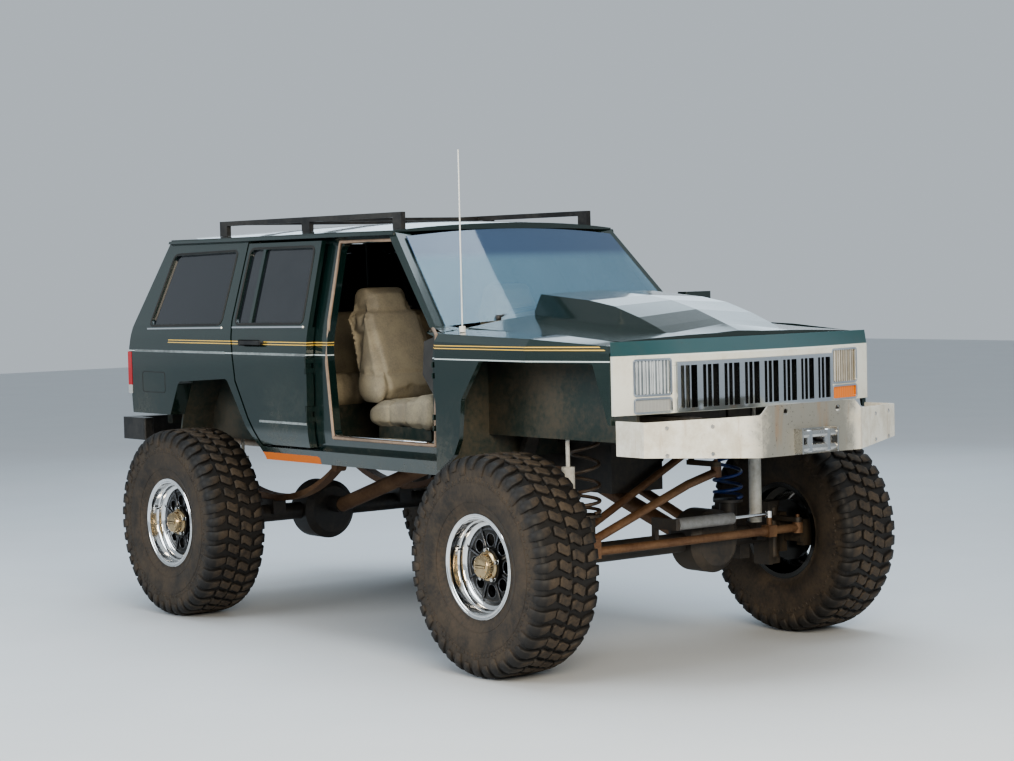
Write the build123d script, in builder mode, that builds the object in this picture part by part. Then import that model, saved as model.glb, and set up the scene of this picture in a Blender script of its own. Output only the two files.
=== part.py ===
from build123d import *
import os

os.makedirs("parts", exist_ok=True)

# Lengths are millimetres and angles degrees. While it is drawn, X runs forward from the
# middle of the wheelbase, Y to the vehicle's left and Z up from the ground. Each finished
# piece is moved along X so that the origin is midway between the two bumpers.

# Wheels and axles
wheelbase = 2576
tyre_radius = 470
tyre_width = 322
tread_width = 276
tyre_facets = 24
tread_radius = 452
tyre_wall_inset = 22
lug_width = 84
lug_inset = 4
lug_start = 22
lug_foot = 405
wheel_y = 880
rim_seat_radius = 209.5
rim_flange_radius = 224
rim_width = 248
rim_flange = 6
rim_wall = 8
rim_drop_radius = 184
rim_drop_half = 62
disc_back = 50
disc_thickness = 10
disc_holes = 8
disc_hole_radius = 27
disc_hole_circle = 108
hub_radius = 48
hub_reach = 66
hub_flange_radius = 76
drum_radius = 150
drum_inner = -75
rotor_radius = 140
rotor_inner = -85
rotor_thickness = 22
axle_tube_radius = 44
front_diff_y = 266
rear_diff_y = -90
front_diff_radius = 142
rear_diff_radius = 152
diff_half_length = 100
diff_chamfer = 32
pinion_radius = 42
pinion_reach = 190
stub_radius = 25
fit = 0.3

# Steering
kingpin_inset = 180
kingpin_radius = 26
knuckle_height = 230
yoke_thickness = 30
yoke_radius = 32
steer_arm = 162
steer_arm_width = 38
steer_arm_thickness = 22
tie_rod_radius = 19
tie_rod_rise = 30
rod_end_radius = 24
stud_radius = 9
drag_link_radius = 19
drag_foot_inset = 170
pitman_y = 200
pitman_z = 815
pitman_thickness = 20
damper_radius = 27
damper_rod_radius = 8
damper_rise = 106
damper_start_y = -40
damper_length = 330
damper_rod_reach = 230
damper_clamp_y = 520
spindle_radius = 30

# Springs and links
spring_y = 420
spring_radius = 62
spring_wire = 15
spring_seat_radius = 68
spring_seat_thickness = 12
spring_pad_height = 160
shock_y = 550
shock_radius = 29
shock_rod_radius = 9
shock_body_length = 330
shock_top_z = 1180
arm_radius = 23
arm_axle_y = 500
arm_rail_x = 450
arm_rail_z = 745
leaf_width = 60
leaf_thickness = 34
leaf_tip = 8
leaf_front_x = -655
leaf_front_z = 745
leaf_rear_x = -1936
leaf_rear_z = 855
leaf_mid_z = 575
leaf_eye_radius = 24
rear_shock_y = 520
driveshaft_radius = 38

# Frame rails
rail_y = 400
rail_width = 70
rail_low_z = 790
rail_depth = 75
rail_front_z = 1120
rail_nose_z = 1010
rail_nose_x = 1985
rail_rear_z = 930
rail_rear_x = -2010

# Body
body_half = 864
skin_depth = 46
door_depth = 40
frame_depth = 25
wall_depth = 84
door_trim_depth = 92
door_gap = 12
door_seal = 22
door_low_z = 882
door_top_z = 1871
rocker_z = 812
belt_z = 1330
sill_z = 950
glass_base_z = 1456
glass_top_z = 1832
roof_rail_z = 1893
roof_crown = 50
roof_thickness = 28
roof_edge = 7
side_bend = 200
glass_depth = 12
glass_thickness = 5
gutter = 14
hinge_radius = 4.2
hinge_set = 5
hinge_length = 24
hinge_heights = (1010, 1240)
floor_z = 870
floor_thickness = 25
cargo_z = 1000
quarter_z = 1000
tunnel_half = 128
tunnel_z = 1045
panel = 15
wheelhouse_inner = 600
arch_gap = 8
pillar_rise = 0.977
pillar_foot = 628
pillar_foot_z = 1460
shelf_z = 1436
tail_depth = 60
gate_depth = 45
gate_low_z = 1010
gate_top_z = 1871
gate_hinge_y = 300
hood_gap = 12
hood_half = 702
hood_front_half = 668
hood_thickness = 22
hood_rear_crown = 1515
hood_rear_edge = 1457
hood_front_crown = 1423
hood_front_edge = 1405
cowl_drop = 48
scoop_half = 330
scoop_wall = 12
scoop_sink = 8
mouth_depth = 310
fender_skin = 22
fender_nose_half = 742
fender_nose = 558
header_low_z = 1105
header_top_z = 1405
header_slope = 64
header_reach = 652
header_bow = 80
header_depth = 110
grille_half = 450
grille_low_z = 1109
grille_high_z = 1316
grille_slots = 8
grille_bar = 30
grille_rib = 9
grille_rail = 16
grille_depth = 34
lamp_inner = 468
lamp_outer = 646
lamp_low_z = 1183
lamp_high_z = 1329
park_low_z = 1112
park_high_z = 1170
lamp_depth = 40

# Bumpers, rack and cabin
bumper_front_x = 2250
bumper_flat = 285
bumper_wing_x = 2030
bumper_half = 727
bumper_return_x = 1860
bumper_low_z = 925
bumper_wing_z = 1085
bumper_hump_z = 1135
bumper_hump = 250
bumper_plate = 8
bumper_eye_radius = 14
bumper_eye_y = 150
bumper_eye_z = 1104
fairlead_half = 105
fairlead_low_z = 930
fairlead_high_z = 1032
fairlead_reach = 46
roller_radius = 17
rear_bumper_x = -2105
rear_bumper_low_z = 850
rear_bumper_high_z = 966
rear_bumper_half = 815
rear_bumper_return_x = -1872
rack_y = 560
rack_tip = 60
rack_z = 1962
rack_bar = 24
rack_foot_length = 70
seat_y = 388
seat_width = 470
seat_base_z = 985
seat_cushion_z = 1135
wheel_rim_radius = 190
wheel_grip_radius = 15

front_axle_x = wheelbase / 2
rear_axle_x = -wheelbase / 2
axle_z = tyre_radius
kingpin_y = wheel_y - kingpin_inset
cowl_x = front_axle_x - 476
fender_nose_x = front_axle_x + fender_nose
header_x = front_axle_x + header_reach
hood_rear_x = front_axle_x - 438
hood_front_x = front_axle_x + 544
tail_x = rear_axle_x - 637
tie_z = axle_z + tie_rod_rise
origin_x = (bumper_front_x + fairlead_reach + rear_bumper_x) / 2
reach = 1500
sides = {"left": 1, "right": -1}

# Half section of the body side: how far each point is set in, and its height
side_section = (
    (36, rocker_z),
    (8, 905),
    (0, 960),
    (0, belt_z),
    (12, 1400),
    (24, shelf_z),
    (30, glass_base_z),
    (196, roof_rail_z),
)
# Towards the windscreen the glass house narrows in plan: (x, extra inset of its points, bend)
glass_house = (
    (0, 0, side_bend),
    (240, 18, 40),
    (cowl_x, 118, 14),
)
# Tail in side view: distance behind the tail's belt line as an inset forward, and height
tail_line = ((30, quarter_z), (0, 1290), (0, 1440), (140, roof_rail_z))


def save(builder, name):
    piece = builder.part.moved(Location((-origin_x, 0, 0)))
    piece.label = name
    export_step(piece, f"parts/{name}.step")


def prism(plane, points, depth, radius=0, grow=0, mode=Mode.ADD):
    with BuildSketch(plane) as outline:
        Polygon(*points, align=None)
        if radius:
            fillet(outline.vertices(), radius)
        if grow:
            offset(amount=grow)
    extrude(outline.sketch, amount=depth, mode=mode)


def across(points, radius=0, grow=0, mode=Mode.ADD, near=-reach, far=reach):
    # Side view outline of (x, z) points, carried across from y = near to y = far
    prism(Plane.XZ.offset(-far), points, far - near, radius, grow, mode)


def along(points, low, high, radius=0, grow=0, mode=Mode.ADD):
    # Front view outline of (y, z) points, carried along from x = low to x = high
    prism(Plane.YZ.offset(low), points, high - low, radius, grow, mode)


def block(x, y, z, mode=Mode.ADD):
    middle = ((x[0] + x[1]) / 2, (y[0] + y[1]) / 2, (z[0] + z[1]) / 2)
    with Locations(middle):
        Box(x[1] - x[0], y[1] - y[0], z[1] - z[0], mode=mode)


def rod(start, end, radius, mode=Mode.ADD):
    direction = Vector(*end) - Vector(*start)
    with BuildSketch(Plane(origin=start, z_dir=direction)) as section:
        Circle(radius)
    extrude(section.sketch, amount=direction.length, mode=mode)


def side_curve(depth, narrow=0):
    return [(body_half - inset - depth - narrow * (z > shelf_z), z) for inset, z in side_section]


def band_section(x, outer_depth, inner_depth, narrow=0, bend=side_bend):
    outer = side_curve(outer_depth, narrow)
    inner = side_curve(inner_depth, narrow)
    with BuildSketch(Plane.YZ.offset(x)) as band:
        with BuildLine():
            FilletPolyline(*outer, radius=bend)
            Line(outer[-1], inner[-1])
            FilletPolyline(*inner, radius=bend)
            Line(inner[0], outer[0])
        make_face()
    return band.sketch


def side_band(outer_depth, inner_depth):
    straight = band_section(tail_x, outer_depth, inner_depth)
    extrude(straight, amount=glass_house[0][0] - tail_x)
    narrowing = [band_section(x, outer_depth, inner_depth, narrow, bend) for x, narrow, bend in glass_house]
    loft(narrowing, ruled=True)


def narrow_at(x):
    # Extra inset of the glass house at a place along the body
    for (rear_x, rear, _), (front_x, front, _) in zip(glass_house, glass_house[1:]):
        if rear_x <= x <= front_x:
            return rear + (front - rear) * (x - rear_x) / (front_x - rear_x)
    return 0


def half_at(z, depth=0, x=0):
    # Half width of the body side at a height and a place along the body
    extra = narrow_at(x) if z > shelf_z else 0
    for (low_inset, low), (high_inset, high) in zip(side_section, side_section[1:]):
        if low <= z <= high:
            return body_half - depth - extra - low_inset - (high_inset - low_inset) * (z - low) / (high - low)
    return body_half - depth


def pillar_x(z, back=0):
    # Front face of the windscreen pillar in side view
    return front_axle_x - pillar_foot - (z - pillar_foot_z) * pillar_rise - back


def fender_inner(x):
    # Half width between the fenders' inner edges, beside the hood
    share = (x - hood_rear_x) / (hood_front_x - hood_rear_x)
    return hood_half + hood_gap + (hood_front_half - hood_half) * share


# Side view outlines, each point (x, z)
side_outline = (
    (cowl_x, rocker_z),
    (cowl_x, 1449),
    (pillar_x(1467), 1467),
    (pillar_x(roof_rail_z), roof_rail_z),
    (tail_x + tail_line[3][0], roof_rail_z),
    (tail_x, tail_line[2][1]),
    (tail_x, tail_line[1][1]),
    (tail_x + tail_line[0][0], quarter_z),
    (rear_axle_x - 215, quarter_z),
    (rear_axle_x - 215, rocker_z),
)
arch_outline = (
    (rear_axle_x - 280, rocker_z - 40),
    (rear_axle_x - 218, quarter_z),
    (rear_axle_x - 127, 1172),
    (rear_axle_x + 346, 1198),
    (rear_axle_x + 514, 971),
    (rear_axle_x + 615, 873),
    (rear_axle_x + 676, rocker_z - 40),
)
pillar_line = ((-210, door_low_z), (-208, 1350), (-236, 1481), (-327, door_top_z))
front_zone = (
    (cowl_x - door_gap / 2, door_low_z),
    (cowl_x - door_gap / 2, 1434),
    (pillar_x(1452, 47), 1452),
    (pillar_x(door_top_z, 60), door_top_z),
) + pillar_line[::-1]
rear_zone = pillar_line + (
    (rear_axle_x + 292, door_top_z),
    (rear_axle_x + 348, 1488),
    (rear_axle_x + 403, 1341),
    (rear_axle_x + 428, 1190),
    (rear_axle_x + 538, 1012),
    (rear_axle_x + 646, door_low_z),
)
front_inner = (
    (cowl_x - 77, sill_z),
    (cowl_x - 77, 1418),
    (pillar_x(1458, 92), 1458),
    (pillar_x(1847, 92), 1847),
    (-222, 1847),
    (-128, 1480),
    (-95, 1300),
    (-55, sill_z),
)
rear_inner = (
    (-300, sill_z),
    (-330, 1480),
    (-402, 1847),
    (rear_axle_x + 325, 1847),
    (rear_axle_x + 385, 1488),
    (rear_axle_x + 470, 1240),
    (rear_axle_x + 640, 1030),
    (rear_axle_x + 690, sill_z),
)
quarter_window = (
    (rear_axle_x - 452, 1462),
    (rear_axle_x - 404, 1815),
    (rear_axle_x + 205, 1825),
    (rear_axle_x + 246, 1472),
)
front_window = (
    (pillar_x(1486, 118), 1486),
    (pillar_x(glass_top_z, 118), glass_top_z),
    (-276, glass_top_z),
    (-192, 1482),
)
rear_window = (
    (-300, 1480),
    (-384, glass_top_z),
    (rear_axle_x + 338, glass_top_z),
    (rear_axle_x + 392, 1474),
)
gate_half = (
    (0, gate_low_z),
    (body_half - 204, gate_low_z),
    (body_half - 198, 1400),
    (body_half - 224, 1470),
    (body_half - 316, gate_top_z),
    (0, gate_top_z),
)
gate_glass_low = (body_half - 294, 1462)
gate_glass_high = (body_half - 372, 1815)
gate_window = (
    (-gate_glass_low[0], gate_glass_low[1]),
    (-gate_glass_high[0], gate_glass_high[1]),
    gate_glass_high,
    gate_glass_low,
)
windscreen_low_z = 1456
door_hinge_x = {"front": cowl_x - door_gap - hinge_set, "rear": -209 - door_gap / 2 - hinge_set}


def mirrored(points):
    return tuple(points) + tuple((-u, v) for u, v in points[::-1] if u)


def tail_band(near, far):
    # Side view outline of the tail, from one depth behind its skin to another
    outer = [(tail_x + inset + near, z) for inset, z in tail_line]
    inner = [(tail_x + inset + far, z) for inset, z in tail_line]
    return outer + inner[::-1]


# Body sides: an outer skin and an inner layer with its own, smaller openings
with BuildPart() as side_skin:
    side_band(0, skin_depth)
    across(side_outline, mode=Mode.INTERSECT)
    across(arch_outline, radius=40, mode=Mode.SUBTRACT)
    across(front_zone, grow=door_gap / 2, mode=Mode.SUBTRACT)
    across(rear_zone, grow=door_gap / 2, mode=Mode.SUBTRACT)
    across(quarter_window, radius=26, mode=Mode.SUBTRACT)
with BuildPart() as side_layer:
    side_band(skin_depth, wall_depth)
    across(side_outline, mode=Mode.INTERSECT)
    across(arch_outline, radius=40, mode=Mode.SUBTRACT)
    across(front_inner, radius=34, mode=Mode.SUBTRACT)
    across(rear_inner, radius=34, mode=Mode.SUBTRACT)
    across(quarter_window, radius=26, grow=14, mode=Mode.SUBTRACT)
    # In front of the pillar's foot the shelf is the outer skin alone
    foot_x = (pillar_x(pillar_foot_z), cowl_x + door_gap)
    block(foot_x, (0, reach), (shelf_z + 4, glass_base_z + 2 * door_gap), mode=Mode.SUBTRACT)
with BuildPart() as tail_corner:
    across(tail_band(0, tail_depth), near=0, far=reach)
    with BuildSketch(Plane.YZ.offset(-reach * 2)) as rear_view:
        with BuildLine():
            FilletPolyline(*side_curve(0), radius=side_bend)
            Line(side_curve(0)[-1], (0, roof_rail_z))
            Line((0, roof_rail_z), (0, rocker_z))
            Line((0, rocker_z), side_curve(0)[0])
        make_face()
    extrude(rear_view.sketch, amount=reach * 2, mode=Mode.INTERSECT)
    gate_foot = ((0, quarter_z - 20), (gate_half[1][0], quarter_z - 20))
    gate_cut = gate_foot + gate_half[1:-1] + ((gate_half[4][0], reach * 2), (0, reach * 2))
    along(gate_cut, -reach * 2, 0, grow=door_gap / 2, mode=Mode.SUBTRACT)
with BuildPart() as drip_rail:
    side_band(-gutter, 20)
    rail_x = (tail_x + tail_line[3][0], pillar_x(roof_rail_z))
    block(rail_x, (0, reach), (roof_rail_z - gutter, roof_rail_z), mode=Mode.INTERSECT)
with BuildPart() as body_side_left:
    add(side_skin.part)
    add(side_layer.part)
    add(tail_corner.part)
    add(drip_rail.part)
    for hinge_x in door_hinge_x.values():
        for z in hinge_heights:
            for low in (z, z + 2 * hinge_length):
                with BuildSketch(Plane.XY.offset(low)) as knuckle:
                    with Locations((hinge_x, body_half)):
                        Circle(hinge_radius)
                    with Locations((hinge_x, body_half - skin_depth / 2)):
                        Rectangle(2 * hinge_radius, skin_depth)
                extrude(knuckle.sketch, amount=hinge_length)
    lamp_box_x = (tail_x - 10, tail_x + 30)
    block(lamp_box_x, (700, body_half + 10), (1100, 1320), mode=Mode.SUBTRACT)
with BuildPart() as body_sides:
    add(body_side_left.part)
    mirror(body_side_left.part, about=Plane.XZ)
save(body_sides, "body_sides")


def door_knuckles(hinge_x):
    # A notch at each hinge clears the body's leaves, and the door's own knuckle
    # stands in it, between the body's two
    for z in hinge_heights:
        x = (hinge_x - 2 * hinge_set, hinge_x + 4 * hinge_set)
        block(x, (0, reach), (z - 3, z + 3 * hinge_length + 3), mode=Mode.SUBTRACT)
        with BuildSketch(Plane.XY.offset(z + hinge_length + fit)) as knuckle:
            with Locations((hinge_x, body_half)):
                Circle(hinge_radius)
            with Locations((hinge_x - hinge_set - 1, body_half - hinge_radius / 2)):
                Rectangle(2 * hinge_set + 2, hinge_radius)
        extrude(knuckle.sketch, amount=hinge_length - 2 * fit)


glass_band_low = (-reach * 2, glass_base_z)
glass_band = (glass_band_low, (-reach * 2, 2000), (reach, 2000), (reach, glass_base_z))
divider = (
    (rear_axle_x + 516, 1440),
    (rear_axle_x + 448, 1850),
    (rear_axle_x + 474, 1850),
    (rear_axle_x + 542, 1440),
)
with BuildPart() as window_bar:
    side_band(0, frame_depth)
    across(divider, mode=Mode.INTERSECT)
    across(rear_window, grow=1, mode=Mode.INTERSECT)
with BuildPart() as door_mirror:
    foot_x = pillar_x(1500, 130)
    rod((foot_x, half_at(1480, 4, foot_x), 1480), (foot_x + 10, body_half + 40, 1500), 16)
    with Locations((foot_x + 12, body_half + 91, 1520)):
        Box(70, 170, 115)
    fillet(door_mirror.edges().filter_by(Axis.Z), 14)
door_extra = {"door_front": door_mirror, "door_rear": window_bar}


def build_door(name, zone, inner, window, hinge_x, doors):
    # A door is cut from the same band as the side, thin round its window,
    # with a deeper inner panel that stands inside the body's inner opening
    with BuildPart() as shell:
        side_band(0, door_depth)
        across(zone, grow=-door_gap / 2, mode=Mode.INTERSECT)
        across(arch_outline, radius=40, grow=3 * door_gap, mode=Mode.SUBTRACT)
    with BuildPart() as thin:
        side_band(frame_depth, door_depth)
        across(glass_band, mode=Mode.INTERSECT)
    with BuildPart() as trim:
        side_band(door_depth, door_trim_depth)
        across(inner, radius=34, grow=-door_seal, mode=Mode.INTERSECT)
        across(arch_outline, radius=40, grow=door_seal + 3 * door_gap, mode=Mode.SUBTRACT)
        across(glass_band, mode=Mode.SUBTRACT)
    with BuildPart() as door:
        add(shell.part)
        add(thin.part, mode=Mode.SUBTRACT)
        across(window, radius=26, mode=Mode.SUBTRACT)
        add(trim.part)
        door_knuckles(hinge_x)
        add(door_extra[name].part)
    with BuildPart() as glass:
        side_band(glass_depth, glass_depth + glass_thickness)
        across(window, radius=26, grow=-fit, mode=Mode.INTERSECT)
        if name == "door_rear":
            across(divider, grow=fit, mode=Mode.SUBTRACT)
    for side in doors:
        for suffix, piece in (("", door), ("_glass", glass)):
            with BuildPart() as placed:
                if side == "left":
                    add(piece.part)
                else:
                    mirror(piece.part, about=Plane.XZ)
            save(placed, f"{name}{suffix}_{side}")


# Doors: the right front one is missing
build_door("door_front", front_zone, front_inner, front_window, door_hinge_x["front"], ("left",))
build_door("door_rear", rear_zone, rear_inner, rear_window, door_hinge_x["rear"], ("left", "right"))

# Roof: three crowned sections lofted along the body, on the sides' flat tops
roof_half = body_half - side_section[-1][0]
roof_sections = (
    # (x, crown above the roof rail)
    (tail_x + tail_line[3][0], roof_crown - 12),
    (rear_axle_x + 600, roof_crown + 8),
    (glass_house[0][0], roof_crown),
    (pillar_x(roof_rail_z) + 60, roof_crown - 14),
)
windscreen_bow = {"base": 88, "top": 56}
with BuildPart() as roof_panel:
    for x, crown in roof_sections:
        half = roof_half - narrow_at(max(x, glass_house[0][0]))
        land = half - wall_depth
        edge_z = roof_rail_z + roof_edge
        with BuildSketch(Plane.YZ.offset(x)):
            with BuildLine():
                ThreePointArc((half, edge_z), (0, roof_rail_z + crown), (-half, edge_z))
                Polyline((-half, edge_z), (-half, roof_rail_z), (-land, roof_rail_z))
                lining_z = roof_rail_z + crown - roof_thickness
                ThreePointArc((-land, roof_rail_z), (0, lining_z), (land, roof_rail_z))
                Polyline((land, roof_rail_z), (half, roof_rail_z), (half, edge_z))
            make_face()
    loft()
    roof_nose = pillar_x(roof_rail_z)
    with BuildSketch(Plane.XY.offset(roof_rail_z - 100)) as roof_plan:
        with BuildLine():
            corner = (roof_nose, roof_half)
            ThreePointArc(corner, (roof_nose + windscreen_bow["top"], 0), (roof_nose, -roof_half))
            Polyline((roof_nose, -roof_half), (-reach * 2, -roof_half), (-reach * 2, roof_half), corner)
        make_face()
    extrude(roof_plan.sketch, amount=300, mode=Mode.INTERSECT)
    header_x_range = (tail_x + tail_line[3][0], tail_x + tail_line[3][0] + 50)
    header_block_top_z = roof_rail_z + roof_sections[0][1] - roof_thickness + 2
    block(header_x_range, (-gate_half[4][0], gate_half[4][0]), (gate_top_z + door_gap / 2, header_block_top_z))
    gate_hinge_z = gate_top_z - door_gap / 2 - hinge_set
    gate_skin_x = tail_x + tail_line[3][0] * (gate_hinge_z - 1440) / (roof_rail_z - 1440)
    for side in sides.values():
        for low in (0, 2 * hinge_length):
            y = side * gate_hinge_y + low - 1.5 * hinge_length
            rod((gate_skin_x, y, gate_hinge_z), (gate_skin_x, y + hinge_length, gate_hinge_z), hinge_radius)
            leaf_x = (gate_skin_x - hinge_radius, header_x_range[0] + 4)
            leaf_z = (gate_hinge_z, gate_top_z + door_gap)
            block((leaf_x[0], gate_skin_x + hinge_radius), (y, y + hinge_length), leaf_z)
            block(leaf_x, (y, y + hinge_length), (gate_top_z + door_gap / 2, gate_top_z + door_gap))
save(roof_panel, "roof_panel")

# Liftgate, hinged at the roof's rear edge
with BuildPart() as liftgate:
    across(tail_band(0, gate_depth))
    along(mirrored(gate_half[1:5]), -reach * 2, 0, grow=-door_gap / 2, mode=Mode.INTERSECT)
    along(gate_window, -reach * 2, 0, radius=30, mode=Mode.SUBTRACT)
    for side in sides.values():
        y = side * gate_hinge_y
        notch = (y - 1.5 * hinge_length - 3, y + 1.5 * hinge_length + 3)
        notch_z = (gate_hinge_z - 2 * hinge_set, reach * 2)
        block((tail_x, gate_skin_x + 60), notch, notch_z, mode=Mode.SUBTRACT)
        low = y - hinge_length / 2 + fit
        high = y + hinge_length / 2 - fit
        rod((gate_skin_x, low, gate_hinge_z), (gate_skin_x, high, gate_hinge_z), hinge_radius)
        block((gate_skin_x - 3, gate_skin_x + 4), (low, high), (gate_hinge_z - 2 * hinge_set - 2, gate_hinge_z))
save(liftgate, "liftgate")
with BuildPart() as liftgate_glass:
    across(tail_band(glass_depth, glass_depth + glass_thickness))
    along(gate_window, -reach * 2, 0, radius=30, grow=-fit, mode=Mode.INTERSECT)
save(liftgate_glass, "liftgate_glass")

# Windscreen and quarter glass
with BuildPart() as windscreen:
    screen_rows = (
        # (height, bow of the glass in plan)
        (windscreen_low_z - 10, windscreen_bow["base"]),
        (roof_rail_z + 60, windscreen_bow["top"]),
    )
    for z, bow in screen_rows:
        x = pillar_x(z) + 1
        half = half_at(min(z, roof_rail_z), 10, max(x, pillar_x(roof_rail_z)))
        with BuildSketch(Plane.XY.offset(z)):
            with BuildLine():
                ThreePointArc((x, -half), (x + bow, 0), (x, half))
                Line((x, half), (x + 8, half))
                ThreePointArc((x + 8, half), (x + bow + 8, 0), (x + 8, -half))
                Line((x + 8, -half), (x, -half))
            make_face()
    loft()
    top_half = half_at(roof_rail_z - 20, 42, pillar_x(roof_rail_z - 20))
    base_half = half_at(1480, 42, pillar_x(1480))
    low_z = windscreen_low_z + 6
    high_z = roof_rail_z - 22
    with BuildSketch(Plane.YZ) as screen_view:
        with BuildLine():
            ThreePointArc((-base_half, low_z), (0, low_z + 28), (base_half, low_z))
            Line((base_half, low_z), (top_half, high_z))
            ThreePointArc((top_half, high_z), (0, high_z + 30), (-top_half, high_z))
            Line((-top_half, high_z), (-base_half, low_z))
        make_face()
    extrude(screen_view.sketch, amount=reach, mode=Mode.INTERSECT)
    add(body_sides.part, mode=Mode.SUBTRACT)
with BuildPart() as quarter_glass:
    side_band(glass_depth, glass_depth + glass_thickness)
    across(quarter_window, radius=26, grow=-fit, mode=Mode.INTERSECT)
with BuildPart() as fixed_glass:
    add(windscreen.part)
    add(quarter_glass.part)
    mirror(quarter_glass.part, about=Plane.XZ)
save(fixed_glass, "fixed_glass")


rail_kick_x = cowl_x + 22
# Lower edge of the rails in side view
rail_line = (
    (rail_rear_x, rail_rear_z),
    (rear_axle_x + 468, rail_rear_z),
    (rear_axle_x + 648, rail_low_z),
    (rail_kick_x, rail_low_z),
    (front_axle_x - 300, rail_front_z),
    (front_axle_x + 300, rail_front_z),
    (front_axle_x + 440, rail_nose_z),
    (rail_nose_x, rail_nose_z),
)

# Frame rails with the crossmembers, spring seats and link brackets that they carry
with BuildPart() as frame_rails:
    for side in sides.values():
        near, far = sorted((side * (rail_y - rail_width / 2), side * (rail_y + rail_width / 2)))
        top = []
        for x, z in rail_line:
            # Under the cabin the rail ends at the floor that lies on it
            floor_above = floor_z if z < rail_rear_z else cargo_z
            top.append((x, min(z + rail_depth, floor_above) if x <= rail_kick_x else z + rail_depth))
        across(rail_line + tuple(top[::-1]), near=near, far=far)
        seat_low = (front_axle_x, side * spring_y, rail_front_z - spring_seat_thickness)
        rod(seat_low, (front_axle_x, side * spring_y, rail_front_z), spring_seat_radius)
        y = sorted((side * rail_y, side * (shock_y + 20)))
        block((front_axle_x + 10, front_axle_x + 80), y, (shock_top_z, shock_top_z + panel))
        y = (side * rail_y - 25, side * rail_y + 25)
        block((arm_rail_x - 30, arm_rail_x + 30), y, (arm_rail_z - 32, rail_low_z))
        block((leaf_front_x - 30, leaf_front_x + 30), y, (leaf_front_z + leaf_eye_radius, rail_low_z + 10))
        block((leaf_rear_x - 22, leaf_rear_x + 22), y, (leaf_rear_z + leaf_eye_radius, rail_rear_z))
    cross_y = (-rail_y + rail_width / 2, rail_y - rail_width / 2)
    block((-60, 20), (cross_y[0], cross_y[1]), (floor_z - 120, floor_z - 92))
    for side in sides.values():
        y = sorted((side * (rail_y - rail_width / 2), side * (rail_y - rail_width / 2 - 20)))
        block((-60, 20), y, (floor_z - 120, rail_low_z + 20))
    block((front_axle_x + 560, front_axle_x + 620), cross_y, (rail_nose_z, rail_nose_z + 50))
save(frame_rails, "frame_rails")

# Floor with its tunnel, wheelhouses, rear sill and seat risers
with BuildPart() as wheelhouse:
    outer_y = body_half - wall_depth
    across(arch_outline, radius=40, grow=arch_gap + panel, near=wheelhouse_inner - panel, far=outer_y)
    across(arch_outline, radius=40, grow=arch_gap, near=wheelhouse_inner, far=reach, mode=Mode.SUBTRACT)
    block((-reach * 2, reach), (0, reach), (0, floor_z), mode=Mode.SUBTRACT)
    add(body_side_left.part, mode=Mode.SUBTRACT)
floor_half = half_at(floor_z, wall_depth)
with BuildPart() as floor_pan:
    floor_step = (rear_axle_x + 633, rear_axle_x + 458)
    floor_tail_x = tail_x + tail_line[0][0] + gate_depth + arch_gap
    floor_outline = (
        (floor_tail_x, cargo_z),
        (floor_step[1], cargo_z),
        (floor_step[0], floor_z),
        (cowl_x, floor_z),
        (cowl_x, floor_z + floor_thickness),
        (floor_step[0] + 8, floor_z + floor_thickness),
        (floor_step[1] + 8, cargo_z + floor_thickness),
        (floor_tail_x, cargo_z + floor_thickness),
    )
    across(floor_outline, near=-floor_half, far=floor_half)
    add(body_sides.part, mode=Mode.SUBTRACT)
    for side in sides.values():
        near, far = sorted((side * wheelhouse_inner, side * reach))
        across(arch_outline, radius=40, grow=arch_gap, near=near, far=far, mode=Mode.SUBTRACT)
    tunnel_end = -300
    block((tunnel_end, cowl_x), (-tunnel_half, tunnel_half), (floor_z - 1, cargo_z), mode=Mode.SUBTRACT)
    hump_y = (-tunnel_half - panel, tunnel_half + panel)
    block((tunnel_end - panel, cowl_x), hump_y, (floor_z, tunnel_z + panel))
    block((tunnel_end, cowl_x), (-tunnel_half, tunnel_half), (floor_z, tunnel_z), mode=Mode.SUBTRACT)
    add(wheelhouse.part, mode=Mode.SUBTRACT)
    mirror(wheelhouse.part, about=Plane.XZ, mode=Mode.SUBTRACT)
    sill_x = (tail_x + tail_line[0][0], floor_tail_x)
    block(sill_x, (-gate_half[1][0], gate_half[1][0]), (rail_rear_z, gate_low_z - door_gap / 2))
    for side in sides.values():
        riser = (side * seat_y - seat_width / 2 + 60, side * seat_y + seat_width / 2 - 60)
        riser = (max(riser[0], tunnel_half + panel) if side > 0 else riser[0], riser[1])
        riser = (riser[0], min(riser[1], -tunnel_half - panel) if side < 0 else riser[1])
        block((-60, 360), riser, (floor_z + floor_thickness, seat_base_z - fit))
    block((rear_axle_x + 400, rear_axle_x + 800), (-520, 520), (floor_z + floor_thickness, cargo_z + 60))
    add(frame_rails.part, mode=Mode.SUBTRACT)
save(floor_pan, "floor_pan")
save(wheelhouse, "wheelhouse_left")
with BuildPart() as wheelhouse_right:
    mirror(wheelhouse.part, about=Plane.XZ)
save(wheelhouse_right, "wheelhouse_right")

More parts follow.
